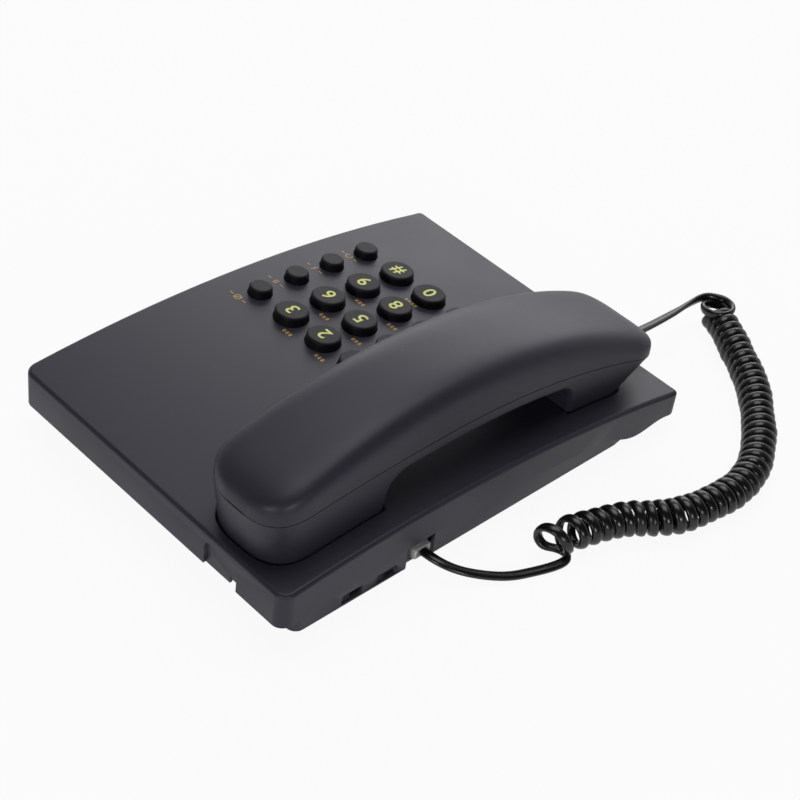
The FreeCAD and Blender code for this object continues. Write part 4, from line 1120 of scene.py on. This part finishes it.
screwLook = {
    "headR": 2.8, "headH": 2.0, "flat": 0.45, "round": 1.0, "roundSteps": 6, "sides": 28, "softAngle": 35,
    "shankR": 1.4, "pitch": 0.9, "thread": 0.3, "crest": 0.25, "tip": 0.5,
    "cross": (0.75, 3.2, 1.0), "crossCorner": 0.1, "crossOver": 0.5, "crossTaper": 0.6,
    "grip": 9.2, "basePlaces": [(44.0, 85.7), (44.0, -66.0), (-10.0, 85.7), (-10.0, -66.0), (-42.9, 15.0)],
    "baseZ": 4.4, "handsetGrip": 10.0, "handsetPlaces": [(-42.9, 31.8), (-42.9, -31.2)], "handsetDrop": 3.6,
}


def screwPiece(look, grip):  # pan head below, shank above, with a cross recess
    headR, headH, bend, shank = look["headR"], look["headH"], look["round"], look["shankR"]
    profile = [(0, -headH), (headR * look["flat"], -headH)]
    for i in range(look["roundSteps"] + 1):
        angle = math.pi / 2 * i / look["roundSteps"]
        profile.append((headR - bend + bend * math.sin(angle), -headH + bend - bend * math.cos(angle)))
    profile += [(headR, 0), (shank, 0)]
    threads = int(grip / look["pitch"])
    for i in range(threads):
        z = (i + 0.5) * grip / threads
        root, crest = shank - look["thread"], look["crest"]
        profile += [(root, z - crest), (shank, z), (root, z + crest)]
    profile += [(look["tip"], grip), (0, grip)]
    screw = addPiece("screw", meshFrom("screw", *lathe(profile, look["sides"])))
    wide, long, deep = look["cross"]
    ends = ((-headH - look["crossOver"], 1), (-headH + deep, look["crossTaper"]))
    for a, b in ((wide, long), (long, wide)):
        rings = [[(x * s, y * s, z) for x, y in roundedRing(a, b, look["crossCorner"], 1)] for z, s in ends]
        tool = addPiece("crossTool", meshFrom("arm", *loftRings(rings)))
        cut = screw.modifiers.new("cross", "BOOLEAN")
        cut.operation, cut.solver, cut.object = "DIFFERENCE", "EXACT", tool
        bakeDown(screw)
        bpy.data.objects.remove(tool)
    softEdges(screw.data, look["softAngle"])
    return screw


def makeScrews(look, name, body, node, grip, spots):
    piece = grown(name, scatter, {"Piece": screwPiece(look, grip), "Scale": 1.0, "Finish": steel}, spots)
    finishPiece(piece, steel, "steel", body, node)


baseSpots = [(x, y, screwLook["baseZ"]) for x, y in screwLook["basePlaces"]]
makeScrews(screwLook, "baseScrews", "base", "base_screws", screwLook["grip"], baseSpots)
handsetSpots = [(x, y, lineHeight(partingLine, y) - screwLook["handsetDrop"])
                for x, y in screwLook["handsetPlaces"]]
makeScrews(screwLook, "handsetScrews", "handset", "handset_screws", screwLook["handsetGrip"], handsetSpots)

footLook = {
    # radius and height, from the middle of the sole outwards
    "profile": [(0, 0.35), (1.5, 0.35), (1.8, 0.0), (2.9, 0.0), (3.1, 0.2), (3.4, 0.2), (3.6, 0.0),
                (4.4, 0.0), (4.82, 0.18), (5.0, 0.6), (5.0, 2.8), (0, 2.8)],
    "sides": 48, "softAngle": 30, "places": [(61.0, 82.7), (61.0, -63.0), (-61.0, 82.7), (-61.0, -63.0)],
}


def makeFeet(look):
    foot = addPiece("foot", meshFrom("foot", *lathe(look["profile"], look["sides"])))
    softEdges(foot.data, look["softAngle"])
    spots = [(x, y, 0.0) for x, y in look["places"]]
    piece = grown("rubberFeet", scatter, {"Piece": foot, "Scale": 1.0, "Finish": rubber}, spots)
    finishPiece(piece, rubber, "rubber", "base", "base_feet")


makeFeet(footLook)

knobLook = {
    "corner": 0.35, "face": (0.3, 0.5), "slim": 0.6, "slimCorner": 0.2, "softAngle": 35,
    "tongueFrom": 1.3, "tongue": 1.6,  # the tongue starts behind the window's wall
    "ribs": 3, "ribWide": 0.5, "ribProud": 0.5, "ribTaper": 0.6, "ribShort": 0.8, "ribCorner": 0.15,
    "ribInset": 0.5,
}


def makeKnob(look, name, node):
    low, high = [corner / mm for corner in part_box(node)]
    middle = (low + high) / 2
    y, z = high.y - low.y, high.z - low.z
    slim, small, corner = y - look["slim"], look["slimCorner"], look["corner"]
    split = low.x + look["tongueFrom"]
    tongue = (slim, look["tongue"], small)
    rows = [(low.x + look["face"][0], slim, z - look["slim"], small), (low.x + look["face"][1], y, z, corner),
            (split, y, z, corner), (split, *tongue), (high.x, *tongue)]
    rings = [[(x, middle.y + a, middle.z + b) for a, b in roundedRing(*size)] for x, *size in rows]
    body = meshFrom(name, *loftRings(rings))
    body.materials.append(fittingPlastic)
    ends = ((look["ribProud"], look["ribWide"]), (0.0, look["ribWide"] * look["ribTaper"]))
    tall = z - look["ribShort"]
    bar = [[(x, a, b) for a, b in roundedRing(wide, tall, look["ribCorner"], 2)] for x, wide in ends]
    rib = addPiece("rib", meshFrom("rib", *loftRings(bar)))
    pitch = (y - 2 * look["ribInset"]) / (look["ribs"] - 1)
    ribs = grown(name + "Ribs", row, {
        "Piece": rib, "Count": look["ribs"], "Step": (0.0, pitch * mm, 0.0), "Finish": fittingPlastic,
        "Start": (low.x * mm, (middle.y - y / 2 + look["ribInset"]) * mm, middle.z * mm)})
    joined = joinMeshes(name, [body, ribs.data])
    bpy.data.objects.remove(ribs)
    softEdges(joined, look["softAngle"])
    finishPiece(addPiece(name, joined), None, "fittings", node, node)


makeKnob(knobLook, "ringerKnob", "ringer_knob")
makeKnob(knobLook, "dialModeKnob", "dial_mode_knob")
print("fasteners, feet and knobs made")

innerFinish = (
    (boardGreen, ("circuit_board",)),
    (silicone, ("keypad_mat",)),
    (rubber, ("receiver_gasket", "microphone_boot")),
    (steel, ("board_screws", "hook_spring", "microphone", "handset_weight")),
    (fittingPlastic, ("board_components", "hook_switch", "line_jack", "base_cord_jack", "ringer_buzzer",
                      "ringer_switch", "dial_mode_switch", "receiver", "handset_jack")),
)
for finish, inside in innerFinish:
    for node in inside:
        mesh = nodes[node].data
        if not mesh.materials:
            mesh.materials.append(finish)
        for i in range(len(mesh.materials)):
            mesh.materials[i] = finish
print("inner parts finished")
